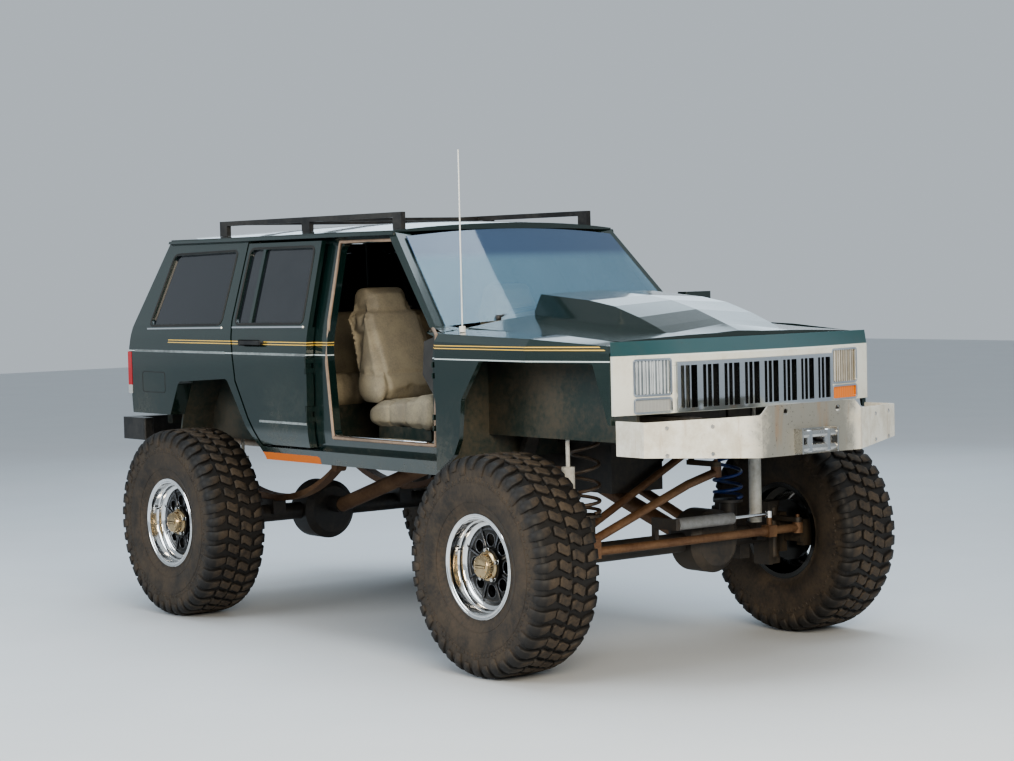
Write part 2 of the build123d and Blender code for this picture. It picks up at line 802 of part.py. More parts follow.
# Cowl panel and firewall
cowl_front_x = hood_rear_x - hood_gap
cowl_half = fender_inner(cowl_front_x) - 4
cowl_edge_z = hood_rear_edge - 10
cowl_crown_z = hood_rear_crown - cowl_drop
cowl_rear_x = pillar_x(pillar_foot_z) - 10
cowl_foot_z = 1378
with BuildPart() as cowl_panel:
    with BuildSketch(Plane.YZ.offset(cowl_rear_x)) as cowl_arc:
        with BuildLine():
            ThreePointArc((-cowl_half, cowl_edge_z), (0, cowl_crown_z), (cowl_half, cowl_edge_z))
            Line((cowl_half, cowl_edge_z), (cowl_half, cowl_edge_z - panel))
            ThreePointArc(
                (cowl_half, cowl_edge_z - panel),
                (0, cowl_crown_z - panel),
                (-cowl_half, cowl_edge_z - panel),
            )
            Line((-cowl_half, cowl_edge_z - panel), (-cowl_half, cowl_edge_z))
        make_face()
    extrude(cowl_arc.sketch, amount=cowl_front_x - cowl_rear_x)
    with BuildSketch(Plane.XY) as glass_foot:
        with BuildLine():
            foot_end = (cowl_rear_x, cowl_half)
            ThreePointArc((cowl_rear_x, -cowl_half), (cowl_rear_x + windscreen_bow["base"], 0), foot_end)
            Line(foot_end, (cowl_rear_x, -cowl_half))
        make_face()
    extrude(glass_foot.sketch, amount=reach * 2, mode=Mode.SUBTRACT)
    wall_y = body_half - fender_skin - fit
    wall_outline = (
        (cowl_half, cowl_edge_z),
        (cowl_half, 1395),
        (wall_y, 1370),
        (wall_y, floor_z),
        (tunnel_half, floor_z),
        (tunnel_half, tunnel_z),
    )
    with BuildSketch(Plane.YZ.offset(cowl_x)) as wall_view:
        with BuildLine():
            ThreePointArc((-cowl_half, cowl_edge_z), (0, cowl_crown_z), (cowl_half, cowl_edge_z))
            Polyline(*wall_outline, *((-y, z) for y, z in wall_outline[::-1]))
        make_face()
    extrude(wall_view.sketch, amount=panel + 3)
    with BuildSketch(Plane.YZ.offset(cowl_front_x - panel)) as lip_view:
        with BuildLine():
            ThreePointArc((-cowl_half, cowl_edge_z), (0, cowl_crown_z), (cowl_half, cowl_edge_z))
            Polyline(
                (cowl_half, cowl_edge_z),
                (cowl_half, cowl_foot_z),
                (-cowl_half, cowl_foot_z),
                (-cowl_half, cowl_edge_z),
            )
        make_face()
    extrude(lip_view.sketch, amount=panel)
    add(body_sides.part, mode=Mode.SUBTRACT)
    hood_hinge_x = hood_rear_x + hood_gap
    hood_hinge_z = hood_rear_crown - hood_thickness - 14
    hood_hinge_y = 150
    for side in sides.values():
        for low in (0, 2 * hinge_length):
            y = side * hood_hinge_y + low - 1.5 * hinge_length
            pin_end = (hood_hinge_x, y + hinge_length, hood_hinge_z)
            rod((hood_hinge_x, y, hood_hinge_z), pin_end, hinge_radius + 1)
            leaf_z = (cowl_crown_z - panel, hood_hinge_z + 1)
            block((cowl_front_x - 4, hood_hinge_x), (y, y + hinge_length), leaf_z)
save(cowl_panel, "cowl_panel")

# Hood with its raised cowl-induction scoop, open to the rear, its ridged top sinking into the hood forwards
scoop_rows = (
    # (distance in front of the hood's rear edge, height of the side edges, height of the ridge)
    (2, 1598, 1608),
    (390, 1565, 1581),
    (550, 1540, 1558),
    (710, 1493, 1518),
    (822, 1452, 1480),
    (890, 1424, 1457),
    (976, 1415, 1428),
)
scoop_lean = 56


def hood_top(x, y):
    # Height of the hood's skin at a place along and across it
    share = (x - hood_rear_x) / (hood_front_x - hood_rear_x)
    crown = hood_rear_crown + (hood_front_crown - hood_rear_crown) * share
    edge = hood_rear_edge + (hood_front_edge - hood_rear_edge) * share
    half = hood_half + (hood_front_half - hood_half) * share
    return crown - (crown - edge) * (y / half) ** 2


with BuildPart() as scoop:
    for ahead, edge, ridge in scoop_rows:
        x = hood_rear_x + ahead
        foot = hood_top(x, scoop_half) - scoop_sink
        with BuildSketch(Plane.YZ.offset(x)):
            Polygon(
                (-scoop_half, foot),
                (-scoop_half, edge),
                (0, ridge),
                (scoop_half, edge),
                (scoop_half, foot),
                align=None,
            )
    loft(ruled=True)
    # The rear edge leans forward to the top
    lean = (
        (hood_rear_x, hood_rear_crown),
        (hood_rear_x + scoop_lean + 2, scoop_rows[0][2]),
        (hood_rear_x, scoop_rows[0][2] + 1),
    )
    across(lean, mode=Mode.SUBTRACT)
mouth = (
    (hood_rear_x, hood_rear_crown + 5),
    (hood_rear_x, scoop_rows[0][1] - 2 * scoop_wall),
    (hood_rear_x + mouth_depth, scoop_rows[1][1] - scoop_wall),
    (hood_rear_x + mouth_depth, hood_rear_crown - scoop_wall),
)
with BuildPart() as scoop_mouth:
    across(mouth, near=scoop_wall - scoop_half, far=scoop_half - scoop_wall)
with BuildPart() as hood:
    hood_rows = (
        # (x, half width, centre height, edge height)
        (hood_rear_x, hood_half, hood_rear_crown, hood_rear_edge),
        (hood_front_x, hood_front_half, hood_front_crown, hood_front_edge),
    )
    for x, half, crown, edge in hood_rows:
        low = edge - hood_thickness
        with BuildSketch(Plane.YZ.offset(x)):
            with BuildLine():
                ThreePointArc((-half, edge), (0, crown), (half, edge))
                Line((half, edge), (half, low))
                ThreePointArc((half, low), (0, crown - hood_thickness), (-half, low))
                Line((-half, low), (-half, edge))
            make_face()
    loft()
    add(scoop.part)
    add(scoop_mouth.part, mode=Mode.SUBTRACT)
    hood_low_z = hood_rear_crown - hood_thickness
    notch_end = hood_hinge_x + 12
    for side in sides.values():
        # A notch in the rear edge clears the cowl's leaves, and the hood's own leaf reaches into it
        y = side * hood_hinge_y
        notch = (y - 1.5 * hinge_length - 3, y + 1.5 * hinge_length + 3)
        block((hood_rear_x - 1, notch_end), notch, (hood_hinge_z, hood_rear_crown + 1), mode=Mode.SUBTRACT)
        low = y - hinge_length / 2 + fit
        high = y + hinge_length / 2 - fit
        rod((hood_hinge_x, low, hood_hinge_z), (hood_hinge_x, high, hood_hinge_z), hinge_radius + 1)
        block((hood_hinge_x - 3, hood_hinge_x + 5), (low, high), (hood_hinge_z, hood_low_z + 8))
        block((hood_hinge_x - 3, notch_end + 4), (low, high), (hood_low_z + 2, hood_low_z + 8))
save(hood, "hood")

# Fenders, cut away round the front wheels
fender_rows = (
    # (x, half width, shoulder height, top outer height, top inner height)
    (cowl_x, body_half, 1402, shelf_z, 1452),
    (front_axle_x + 162, body_half - 2, 1386, 1418, 1432),
    (fender_nose_x, fender_nose_half, 1358, 1386, 1402),
)
fender_outline = (
    (cowl_x, 840),
    (cowl_x, 1500),
    (fender_nose_x, 1500),
    (fender_nose_x, 800),
)
wheel_cut = (
    (cowl_x + 14, 700),
    (cowl_x + 16, 838),
    (cowl_x + 129, 912),
    (cowl_x + 166, 979),
    (cowl_x + 187, 1153),
    (front_axle_x - 154, 1323),
    (front_axle_x + 478, 1318),
    (front_axle_x + 545, 1067),
    (fender_nose_x + 60, 1067),
    (fender_nose_x + 60, 700),
)
with BuildPart() as fender_left:
    for x, half, shoulder, outer_z, inner_z in fender_rows:
        inner = fender_inner(x)
        with BuildSketch(Plane.YZ.offset(x)):
            Polygon(
                (half, 800),
                (half, shoulder),
                (half - 26, outer_z),
                (inner, inner_z),
                (inner, inner_z - 10),
                (half - 36, outer_z - fender_skin),
                (half - fender_skin, shoulder - 12),
                (half - fender_skin, 800),
                align=None,
            )
    loft(ruled=True)
    across(fender_outline, mode=Mode.INTERSECT)
    across(wheel_cut, radius=16, mode=Mode.SUBTRACT)
with BuildPart() as fenders:
    add(fender_left.part)
    mirror(fender_left.part, about=Plane.XZ)
save(fenders, "fenders")

# Inner fenders and the radiator between them
inner_fender_y = 585
inner_fender_end = header_x - header_depth - 4
inner_fender_z = (980, cowl_foot_z)
radiator_thickness = 50
with BuildPart() as inner_fenders:
    for side in sides.values():
        y = sorted((side * inner_fender_y, side * (inner_fender_y - panel)))
        block((cowl_x + panel + 3, inner_fender_end), y, inner_fender_z)
        y = sorted((side * (inner_fender_y - panel), side * (fender_inner(hood_front_x) - 16)))
        block((cowl_x + panel + 3, inner_fender_end), y, (cowl_foot_z - hood_gap, cowl_foot_z))
save(inner_fenders, "inner_fenders")
with BuildPart() as radiator:
    radiator_y = inner_fender_y - panel
    radiator_z = (rail_nose_z + rail_depth + 10, cowl_foot_z - 2)
    block((inner_fender_end - radiator_thickness, inner_fender_end), (-radiator_y, radiator_y), radiator_z)
save(radiator, "radiator")

# Header panel that carries the lamps and grille, its face an arc in plan
header_half = fender_nose_half - 4
header_end_x = header_x - header_bow
header_rear_x = header_x - header_depth
header_top_x = hood_front_x + hood_gap / 2
nose_radius = (header_half ** 2 + header_bow ** 2) / (2 * header_bow)


def nose_x(y):
    # Front face of the header at a place across it
    return header_x - nose_radius + (nose_radius ** 2 - y ** 2) ** 0.5


def nose_band(front, back, z, half=header_half, mode=Mode.ADD):
    # A band that follows the header's face, from front to back of it
    with BuildSketch(Plane.XY.offset(z[0])) as band:
        with BuildLine():
            ThreePointArc((nose_x(half) + front, -half), (header_x + front, 0), (nose_x(half) + front, half))
            Line((nose_x(half) + front, half), (nose_x(half) + back, half))
            ThreePointArc((nose_x(half) + back, half), (header_x + back, 0), (nose_x(half) + back, -half))
            Line((nose_x(half) + back, -half), (nose_x(half) + front, -half))
        make_face()
    extrude(band.sketch, amount=z[1] - z[0], mode=mode)


with BuildPart() as header_panel:
    slope_low_z = header_top_z - header_slope
    for z, end_x, middle_x in (
        (slope_low_z, header_end_x, header_x),
        (header_top_z, header_top_x + 10, header_top_x + 26),
    ):
        with BuildSketch(Plane.XY.offset(z)):
            with BuildLine():
                ThreePointArc((end_x, -header_half), (middle_x, 0), (end_x, header_half))
                Polyline(
                    (end_x, header_half),
                    (header_top_x, header_half),
                    (header_top_x, -header_half),
                    (end_x, -header_half),
                )
            make_face()
    loft(ruled=True)
    with BuildSketch(Plane.XY.offset(header_low_z)) as header_plan:
        with BuildLine():
            ThreePointArc((header_end_x, -header_half), (header_x, 0), (header_end_x, header_half))
            Polyline(
                (header_end_x, header_half),
                (header_rear_x, header_half),
                (header_rear_x, -header_half),
                (header_end_x, -header_half),
            )
        make_face()
    extrude(header_plan.sketch, amount=slope_low_z - header_low_z)
    for side in sides.values():
        y = sorted((side * (fender_nose_half - fender_skin - 6), side * reach))
        block((0, fender_nose_x + 2), y, (800, reach), mode=Mode.SUBTRACT)
    grille_z = (grille_low_z, grille_high_z)
    block((0, reach * 2), (-grille_half, grille_half), grille_z, mode=Mode.SUBTRACT)
    for side in sides.values():
        y = sorted((side * lamp_inner, side * lamp_outer))
        for z in ((lamp_low_z, lamp_high_z), (park_low_z, park_high_z)):
            block((nose_x(lamp_outer) - lamp_depth, reach * 2), y, z, mode=Mode.SUBTRACT)
    add(fenders.part, mode=Mode.SUBTRACT)
save(header_panel, "header_panel")
with BuildPart() as lamps:
    for low, high, inset in ((lamp_low_z, lamp_high_z, 6), (park_low_z, park_high_z, 4)):
        nose_band(-inset, -lamp_depth, (low + fit, high - fit))
    block((0, reach * 2), (-lamp_inner - fit, lamp_inner + fit), (0, reach), mode=Mode.SUBTRACT)
    for side in sides.values():
        y = sorted((side * (lamp_outer - fit), side * reach))
        block((0, reach * 2), y, (0, reach), mode=Mode.SUBTRACT)
    for side in sides.values():
        y = sorted((side * (700 + fit), side * (body_half + 2)))
        block((tail_x - 10, tail_x + 30 - fit), y, (1100 + fit, 1320 - fit))
save(lamps, "lamps")
with BuildPart() as grille:
    half = grille_half - fit
    z = (grille_low_z + fit, grille_high_z - fit)
    slot_z = (z[0] + grille_rail, z[1] - grille_rail)
    nose_band(grille_depth - 14, -14, z, half)
    slot = (2 * half - 2 * grille_rail + grille_bar) / grille_slots
    for index in range(grille_slots):
        start = -half + grille_rail + index * slot
        block((0, reach * 2), (start, start + slot - grille_bar), slot_z, mode=Mode.SUBTRACT)
    for index in range(grille_slots):
        for share in (1 / 3, 2 / 3):
            middle = -half + grille_rail + index * slot + (slot - grille_bar) * share
            x = nose_x(middle)
            rib_x = (x - 12, x + grille_depth - 22)
            block(rib_x, (middle - grille_rib / 2, middle + grille_rib / 2), (slot_z[0] - 1, slot_z[1] + 1))
save(grille, "grille")

# Front bumper: folded plate in plan, trimmed in front view to its raised middle
bumper_plan = (
    (bumper_return_x, bumper_half),
    (bumper_wing_x, bumper_half),
    (bumper_front_x, bumper_flat),
    (bumper_front_x, -bumper_flat),
    (bumper_wing_x, -bumper_half),
    (bumper_return_x, -bumper_half),
)
bumper_view = (
    (-bumper_half - 2, bumper_low_z + 18),
    (-bumper_flat, bumper_low_z),
    (bumper_flat, bumper_low_z),
    (bumper_half + 2, bumper_low_z + 18),
    (bumper_half + 2, bumper_wing_z),
    (bumper_hump + 40, bumper_wing_z + 12),
    (bumper_hump, bumper_hump_z),
    (-bumper_hump, bumper_hump_z),
    (-bumper_hump - 40, bumper_wing_z + 12),
    (-bumper_half - 2, bumper_wing_z),
)
with BuildPart() as front_bumper:
    with BuildSketch(Plane.XY.offset(bumper_low_z - 20)) as plan:
        Polygon(*bumper_plan, align=None)
        inner_plan = (
            (bumper_return_x - 1, bumper_half - bumper_plate),
            (bumper_wing_x - 4, bumper_half - bumper_plate),
            (bumper_front_x - bumper_plate, bumper_flat - 4),
            (bumper_front_x - bumper_plate, -bumper_flat + 4),
            (bumper_wing_x - 4, -bumper_half + bumper_plate),
            (bumper_return_x - 1, -bumper_half + bumper_plate),
        )
        Polygon(*inner_plan, align=None, mode=Mode.SUBTRACT)
    extrude(plan.sketch, amount=bumper_hump_z - bumper_low_z + 60)
    with BuildSketch(Plane.XY.offset(bumper_wing_z - 2 * bumper_plate)) as shelf:
        Polygon(
            (rail_nose_x + 10, bumper_half - 1),
            (bumper_wing_x - 1, bumper_half - 1),
            (bumper_front_x - 1, bumper_flat - 1),
            (bumper_front_x - 1, -bumper_flat + 1),
            (bumper_wing_x - 1, -bumper_half + 1),
            (rail_nose_x + 10, -bumper_half + 1),
            align=None,
        )
    extrude(shelf.sketch, amount=bumper_plate)
    along(bumper_view, 0, reach * 2, mode=Mode.INTERSECT)
    for side in sides.values():
        y = (side * rail_y - rail_width / 2, side * rail_y + rail_width / 2)
        block((rail_nose_x, bumper_front_x - 80), y, (rail_nose_z, bumper_wing_z - bumper_plate - 1))
        eye = (bumper_front_x - 40, side * bumper_eye_y, bumper_eye_z)
        eye_end = (bumper_front_x + 40, side * bumper_eye_y, bumper_eye_z)
        rod(eye, eye_end, bumper_eye_radius, mode=Mode.SUBTRACT)
    rope_slot = ((14 - fairlead_half, fairlead_half - 14), (fairlead_low_z + 14, fairlead_high_z - 10))
    block((bumper_front_x - 60, bumper_front_x + 60), *rope_slot, mode=Mode.SUBTRACT)
save(front_bumper, "front_bumper")

# Roller fairlead on the bumper's middle face
with BuildPart() as fairlead:
    frame_x = (bumper_front_x, bumper_front_x + 6)
    block(frame_x, (-fairlead_half, fairlead_half), (fairlead_low_z, fairlead_high_z))
    block(frame_x, *rope_slot, mode=Mode.SUBTRACT)
    for side in sides.values():
        y = sorted((side * fairlead_half, side * (fairlead_half - 8)))
        block((bumper_front_x, bumper_front_x + fairlead_reach), y, (fairlead_low_z, fairlead_high_z))
    roller_z = (fairlead_low_z + roller_radius + 6, fairlead_high_z - roller_radius - 6)
    for z in roller_z:
        y = fairlead_half - 8 - fit
        rod((bumper_front_x + 26, -y, z), (bumper_front_x + 26, y, z), roller_radius)
save(fairlead, "fairlead")

# Rear bumper with wrapped ends
with BuildPart() as rear_bumper:
    z = (rear_bumper_low_z, rear_bumper_high_z)
    block((rear_bumper_x, rail_rear_x), (-rear_bumper_half, rear_bumper_half), z)
    for side in sides.values():
        y = sorted((side * rear_bumper_half, side * (rear_bumper_half - 60)))
        block((rail_rear_x - 1, rear_bumper_return_x), y, z)
    fillet(rear_bumper.edges().filter_by(Axis.Z), 12)
save(rear_bumper, "rear_bumper")

# Roof rack
with BuildPart() as rack_frame:
    rack_x = (rear_axle_x - 160, pillar_x(roof_rail_z) - rack_tip)
    for side in sides.values():
        y = (side * rack_y - rack_bar / 2, side * rack_y + rack_bar / 2)
        block(rack_x, y, (rack_z, rack_z + rack_bar))
        middle = (rack_x[0] + rack_x[1]) / 2
        for x in (rack_x[0] + rack_foot_length / 2, middle, rack_x[1] - rack_foot_length / 2):
            block((x - rack_foot_length / 2, x + rack_foot_length / 2), y, (roof_rail_z, rack_z + 1))
    for x in (middle - 90, rack_x[0] + rack_foot_length):
        block((x - 20, x + 20), (-rack_y, rack_y), (rack_z + 4, rack_z + rack_bar - 4))
    add(roof_panel.part, mode=Mode.SUBTRACT)
with BuildPart() as roof_rack:
    for solid in rack_frame.part.solids():
        if solid.bounding_box().max.Z > rack_z:
            add(solid.moved(Location((0, 0, fit))))
save(roof_rack, "roof_rack")

# Antenna whip on the right fender's top
with BuildPart() as antenna:
    foot = (cowl_x + 100, 82 - body_half, 1441)
    rod(foot, (foot[0], foot[1], foot[2] + 26), 14)
    rod((foot[0], foot[1], foot[2] + 25), (foot[0], foot[1], 2232), 3)
    add(fenders.part, mode=Mode.SUBTRACT)
save(antenna, "antenna")

# Dashboard with console, column and steering wheel
with BuildPart() as dashboard:
    dash_outline = (
        (cowl_x - 26, 1120),
        (cowl_x - 26, 1400),
        (cowl_x - 160, 1404),
        (cowl_x - 185, 1430),
        (cowl_x - 330, 1392),
        (cowl_x - 345, 1240),
        (cowl_x - 240, 1120),
    )
    across(dash_outline, near=-680, far=680)
    block((120, cowl_x - 300), (-95, 95), (tunnel_z + panel, tunnel_z + 160))
    block((cowl_x - 301, cowl_x - 240), (-95, 95), (tunnel_z + panel, 1200))
    block((cowl_x - 60, cowl_x), (-300, -200), (1150, 1250))
    block((cowl_x - 60, cowl_x), (200, 300), (1150, 1250))
    column_tip = Vector(cowl_x - 470, seat_y, 1365)
    column_root = Vector(cowl_x - 300, seat_y, 1290)
    rod(tuple(column_root), tuple(column_tip), 26)
    wheel_plane = Plane(origin=tuple(column_tip), z_dir=column_tip - column_root)
    grip_plane = Plane(origin=tuple(column_tip), x_dir=wheel_plane.x_dir, z_dir=wheel_plane.y_dir)
    with BuildSketch(grip_plane) as grip:
        with Locations((wheel_rim_radius, 0)):
            Circle(wheel_grip_radius)
    revolve(grip.sketch, axis=Axis(tuple(column_tip), wheel_plane.z_dir))
    with BuildSketch(wheel_plane.offset(-8)) as spokes:
        Circle(55)
        Rectangle(2 * wheel_rim_radius - 8, 34)
    extrude(spokes.sketch, amount=16)
save(dashboard, "dashboard")

# Seats
with BuildPart() as seats:
    for side in sides.values():
        near, far = side * seat_y - seat_width / 2, side * seat_y + seat_width / 2
        cushion = (
            (-140, seat_base_z),
            (-170, seat_cushion_z - 5),
            (430, seat_cushion_z),
            (450, seat_cushion_z - 55),
            (430, seat_base_z),
        )
        backrest = (
            (-165, 1060),
            (-360, 1560),
            (-345, 1670),
            (-235, 1680),
            (-205, 1570),
            (20, 1090),
            (-20, 1060),
        )
        across(cushion, radius=12, near=near, far=far)
        across(backrest, radius=24, near=near, far=far)
    bench_z = cargo_z + 60 + fit
    bench = (
        (rear_axle_x + 380, bench_z),
        (rear_axle_x + 380, 1200),
        (rear_axle_x + 800, 1200),
        (rear_axle_x + 815, bench_z),
    )
    rear_back = (
        (rear_axle_x + 300, 1140),
        (rear_axle_x + 210, 1540),
        (rear_axle_x + 310, 1545),
        (rear_axle_x + 440, 1160),
    )
    across(bench, radius=20, near=-560, far=560)
    across(rear_back, radius=20, near=-560, far=560)
save(seats, "seats")

# Engine, gearbox and transfer case as one plain block
engine_front_x = front_axle_x + 210
front_shaft_x = 120
rear_shaft_x = -100
shaft_z = 826
with BuildPart() as engine:
    block((cowl_x + 50, engine_front_x), (-220, 220), (925, 1355))
    block((cowl_x + 60, front_axle_x - 140), (-150, 150), (700, 930))
    block((rear_shaft_x, cowl_x + 60), (-110, 110), (800, 1010))
    block((rear_shaft_x, front_shaft_x), (-150, 330), (floor_z - 92, floor_z - 5))
    for side in sides.values():
        y = sorted((side * 200, side * (rail_y - rail_width / 2)))
        block((front_axle_x - 160, front_axle_x - 90), y, (rail_front_z + 10, rail_front_z + 50))
save(engine, "engine")

# Exhaust on the right
exhaust_y = -240
exhaust_z = 812
with BuildPart() as exhaust:
    rod((cowl_x + 20, exhaust_y, exhaust_z), (rear_axle_x - 690, exhaust_y, exhaust_z), 25)
    block((-760, -260), (exhaust_y - 85, exhaust_y + 70), (exhaust_z - 62, exhaust_z + 46))
    for x, top in ((300, floor_z), (rear_axle_x - 330, cargo_z)):
        rod((x, exhaust_y, exhaust_z), (x, exhaust_y, top), 6)
save(exhaust, "exhaust")
with BuildPart() as fuel_tank:
    block((rear_axle_x - 530, rear_axle_x - 262), (-180, 340), (790, cargo_z))
    fillet(fuel_tank.edges().filter_by(Axis.X), 30)
save(fuel_tank, "fuel_tank")


def is_bowl_edge(edge):
    return edge.radius > front_diff_radius - 2


# Front axle with its differential, knuckle yokes and brackets
with BuildPart() as front_axle:
    yoke_inner = kingpin_y - 60
    rod((front_axle_x, -yoke_inner, axle_z), (front_axle_x, yoke_inner, axle_z), axle_tube_radius)
    with BuildSketch(Plane.YZ.offset(front_axle_x - diff_half_length)) as bowl:
        with Locations((front_diff_y, axle_z)):
            Circle(front_diff_radius)
    extrude(bowl.sketch, amount=2 * diff_half_length)
    rims_of_bowl = front_axle.edges().filter_by(GeomType.CIRCLE).filter_by(is_bowl_edge)
    chamfer(rims_of_bowl, diff_chamfer)
    pinion_z = axle_z + 30
    pinion = (front_axle_x - 60, front_diff_y, pinion_z)
    rod(pinion, (front_axle_x - pinion_reach, front_diff_y, pinion_z), pinion_radius)
    for side in sides.values():
        y = side * kingpin_y
        ear_gap = knuckle_height / 2 + fit
        for low in (axle_z + ear_gap, axle_z - ear_gap - yoke_thickness):
            rod((front_axle_x, y, low), (front_axle_x, y, low + yoke_thickness), yoke_radius)
            ear_y = sorted((y, side * yoke_inner))
            ear_x = (front_axle_x - yoke_radius, front_axle_x + yoke_radius)
            block(ear_x, ear_y, (low, low + yoke_thickness))
        y = sorted((side * (yoke_inner - 16), side * (yoke_inner + 8)))
        z = (axle_z - ear_gap - yoke_thickness, axle_z + ear_gap + yoke_thickness)
        block((front_axle_x - 50, front_axle_x + 50), y, z)
        pad_top = axle_z + spring_pad_height
        pad = (front_axle_x, side * spring_y, pad_top)
        rod((front_axle_x, side * spring_y, axle_z), pad, 40)
        rod(pad, (front_axle_x, side * spring_y, pad_top + spring_seat_thickness), spring_seat_radius)
        y = (side * arm_axle_y - 30, side * arm_axle_y + 30)
        block((front_axle_x - 70, front_axle_x + 20), y, (axle_z - 105, axle_z))
        y = sorted((side * (shock_y - 22), side * (shock_y + 22)))
        block((front_axle_x, front_axle_x + 72), y, (axle_z - 20, axle_z + 60))
    bar_y = (-arm_axle_y + 40, -arm_axle_y + 80)
    block((front_axle_x - 118, front_axle_x), bar_y, (axle_z, axle_z + 40))
    bracket_y = (damper_start_y - 22, damper_start_y)
    block((front_axle_x + 20, front_axle_x + steer_arm + 20), bracket_y, (axle_z + 82, axle_z + 130))
    block((front_axle_x + 20, front_axle_x + 44), bracket_y, (axle_z, axle_z + 100))
save(front_axle, "front_axle")

# Rear leaf springs
with BuildPart() as leaf_springs:
    for side in sides.values():
        with BuildSketch(Plane.XZ.offset(-side * rail_y - leaf_width / 2)) as leaf:
            with BuildLine():
                front_top = (leaf_front_x, leaf_front_z + leaf_tip)
                front_low = (leaf_front_x, leaf_front_z - leaf_tip)
                rear_top = (leaf_rear_x, leaf_rear_z + leaf_tip)
                rear_low = (leaf_rear_x, leaf_rear_z - leaf_tip)
                ThreePointArc(front_top, (rear_axle_x, leaf_mid_z), rear_top)
                Line(rear_top, rear_low)
                ThreePointArc(rear_low, (rear_axle_x, leaf_mid_z - leaf_thickness), front_low)
                Line(front_low, front_top)
            make_face()
        extrude(leaf.sketch, amount=leaf_width)
        for x, z in ((leaf_front_x, leaf_front_z), (leaf_rear_x, leaf_rear_z)):
            y = (side * rail_y - leaf_width / 2, side * rail_y + leaf_width / 2)
            rod((x, y[0], z), (x, y[1], z), leaf_eye_radius)
save(leaf_springs, "leaf_springs")

# Rear axle
with BuildPart() as rear_axle:
    tube_end = wheel_y + drum_inner - 5
    rod((rear_axle_x, -tube_end, axle_z), (rear_axle_x, tube_end, axle_z), axle_tube_radius)
    with BuildSketch(Plane.YZ.offset(rear_axle_x - diff_half_length)) as bowl:
        with Locations((rear_diff_y, axle_z)):
            Circle(rear_diff_radius)
    extrude(bowl.sketch, amount=2 * diff_half_length)
    chamfer(rear_axle.edges().filter_by(GeomType.CIRCLE).filter_by(is_bowl_edge), diff_chamfer)
    pinion = (rear_axle_x + 60, rear_diff_y, pinion_z)
    rod(pinion, (rear_axle_x + pinion_reach, rear_diff_y, pinion_z), pinion_radius)
    for side in sides.values():
        y = side * tube_end
        rod((rear_axle_x, y - side, axle_z), (rear_axle_x, side * (wheel_y - 8), axle_z), stub_radius)
        rod((rear_axle_x, side * (tube_end - 14), axle_z), (rear_axle_x, y, axle_z), 110)
        y = (side * rail_y - leaf_width / 2 - 8, side * rail_y + leaf_width / 2 + 8)
        block((rear_axle_x - 70, rear_axle_x + 70), y, (axle_z, leaf_mid_z - leaf_thickness + 4))
        y = (side * rear_shock_y - 20, side * rear_shock_y + 20)
        block((rear_axle_x - 110, rear_axle_x), y, (axle_z - 30, axle_z + 20))
    add(leaf_springs.part, mode=Mode.SUBTRACT)
save(rear_axle, "rear_axle")

# Coil springs over the front axle
coil_low = axle_z + spring_pad_height + spring_seat_thickness
coil_high = rail_front_z - spring_seat_thickness
with BuildPart() as coil_springs:
    for side in sides.values():
        ends = ((front_axle_x, side * spring_y, coil_low), (front_axle_x, side * spring_y, coil_high))
        rod(*ends, spring_radius)
        rod(*ends, spring_radius - spring_wire, mode=Mode.SUBTRACT)
save(coil_springs, "coil_springs")

# Shock absorbers
with BuildPart() as shock_absorbers:
    for side in sides.values():
        x = front_axle_x + 44
        low = (x, side * shock_y, axle_z + 60)
        split = (x, side * shock_y, axle_z + 60 + shock_body_length)
        rod(low, split, shock_radius)
        rod(split, (x, side * shock_y, shock_top_z), shock_rod_radius)
        low = (rear_axle_x - 80, side * rear_shock_y, axle_z + 20)
        split = (rear_axle_x - 80, side * rear_shock_y, axle_z + 300)
        rod(low, split, shock_radius)
        rod(split, (rear_axle_x - 80, side * rear_shock_y, cargo_z), shock_rod_radius)
save(shock_absorbers, "shock_absorbers")

# Lower arms and track bar
with BuildPart() as suspension_arms:
    for side in sides.values():
        start = (front_axle_x - 62, side * arm_axle_y, axle_z - 70)
        end = (arm_rail_x + 10, side * rail_y, arm_rail_z)
        rod(start, end, arm_radius)
    bar_x = front_axle_x - 100
    rod((bar_x, rail_y - 6, 925), (bar_x, -arm_axle_y + 60, axle_z + 40), 17)
    block((bar_x - 24, bar_x + 24), (rail_y - 32, rail_y + 20), (895, rail_front_z))
    add(frame_rails.part, mode=Mode.SUBTRACT)
    add(front_axle.part, mode=Mode.SUBTRACT)
save(suspension_arms, "suspension_arms")

# Driveshafts to both axles
with BuildPart() as driveshafts:
    shafts = (
        ((front_axle_x - pinion_reach, front_diff_y, pinion_z), (front_shaft_x, front_diff_y, shaft_z)),
        ((rear_axle_x + pinion_reach, rear_diff_y, pinion_z), (rear_shaft_x, rear_diff_y / 2, shaft_z)),
    )
    for start, end in shafts:
        rod(start, end, driveshaft_radius)
    add(engine.part, mode=Mode.SUBTRACT)
    add(front_axle.part, mode=Mode.SUBTRACT)
    add(rear_axle.part, mode=Mode.SUBTRACT)
save(driveshafts, "driveshafts")

# Steering gear on the left rail, with its shaft down to the pitman arm
arm_tip_x = front_axle_x + steer_arm
gear_low_z = pitman_z + pitman_thickness + 15
with BuildPart() as steering_gear:
    block((front_axle_x - 28, arm_tip_x - 30), (pitman_y - 30, pitman_y + 100), (gear_low_z, gear_low_z + 60))
    gear_foot_y = (pitman_y + 99, rail_y + rail_width / 2)
    block((arm_tip_x - 70, arm_tip_x - 20), gear_foot_y, (gear_low_z, rail_front_z))
    shaft = (front_axle_x, pitman_y, pitman_z + pitman_thickness + fit)
    rod(shaft, (front_axle_x, pitman_y, gear_low_z + 1), 14)
save(steering_gear, "steering_gear")


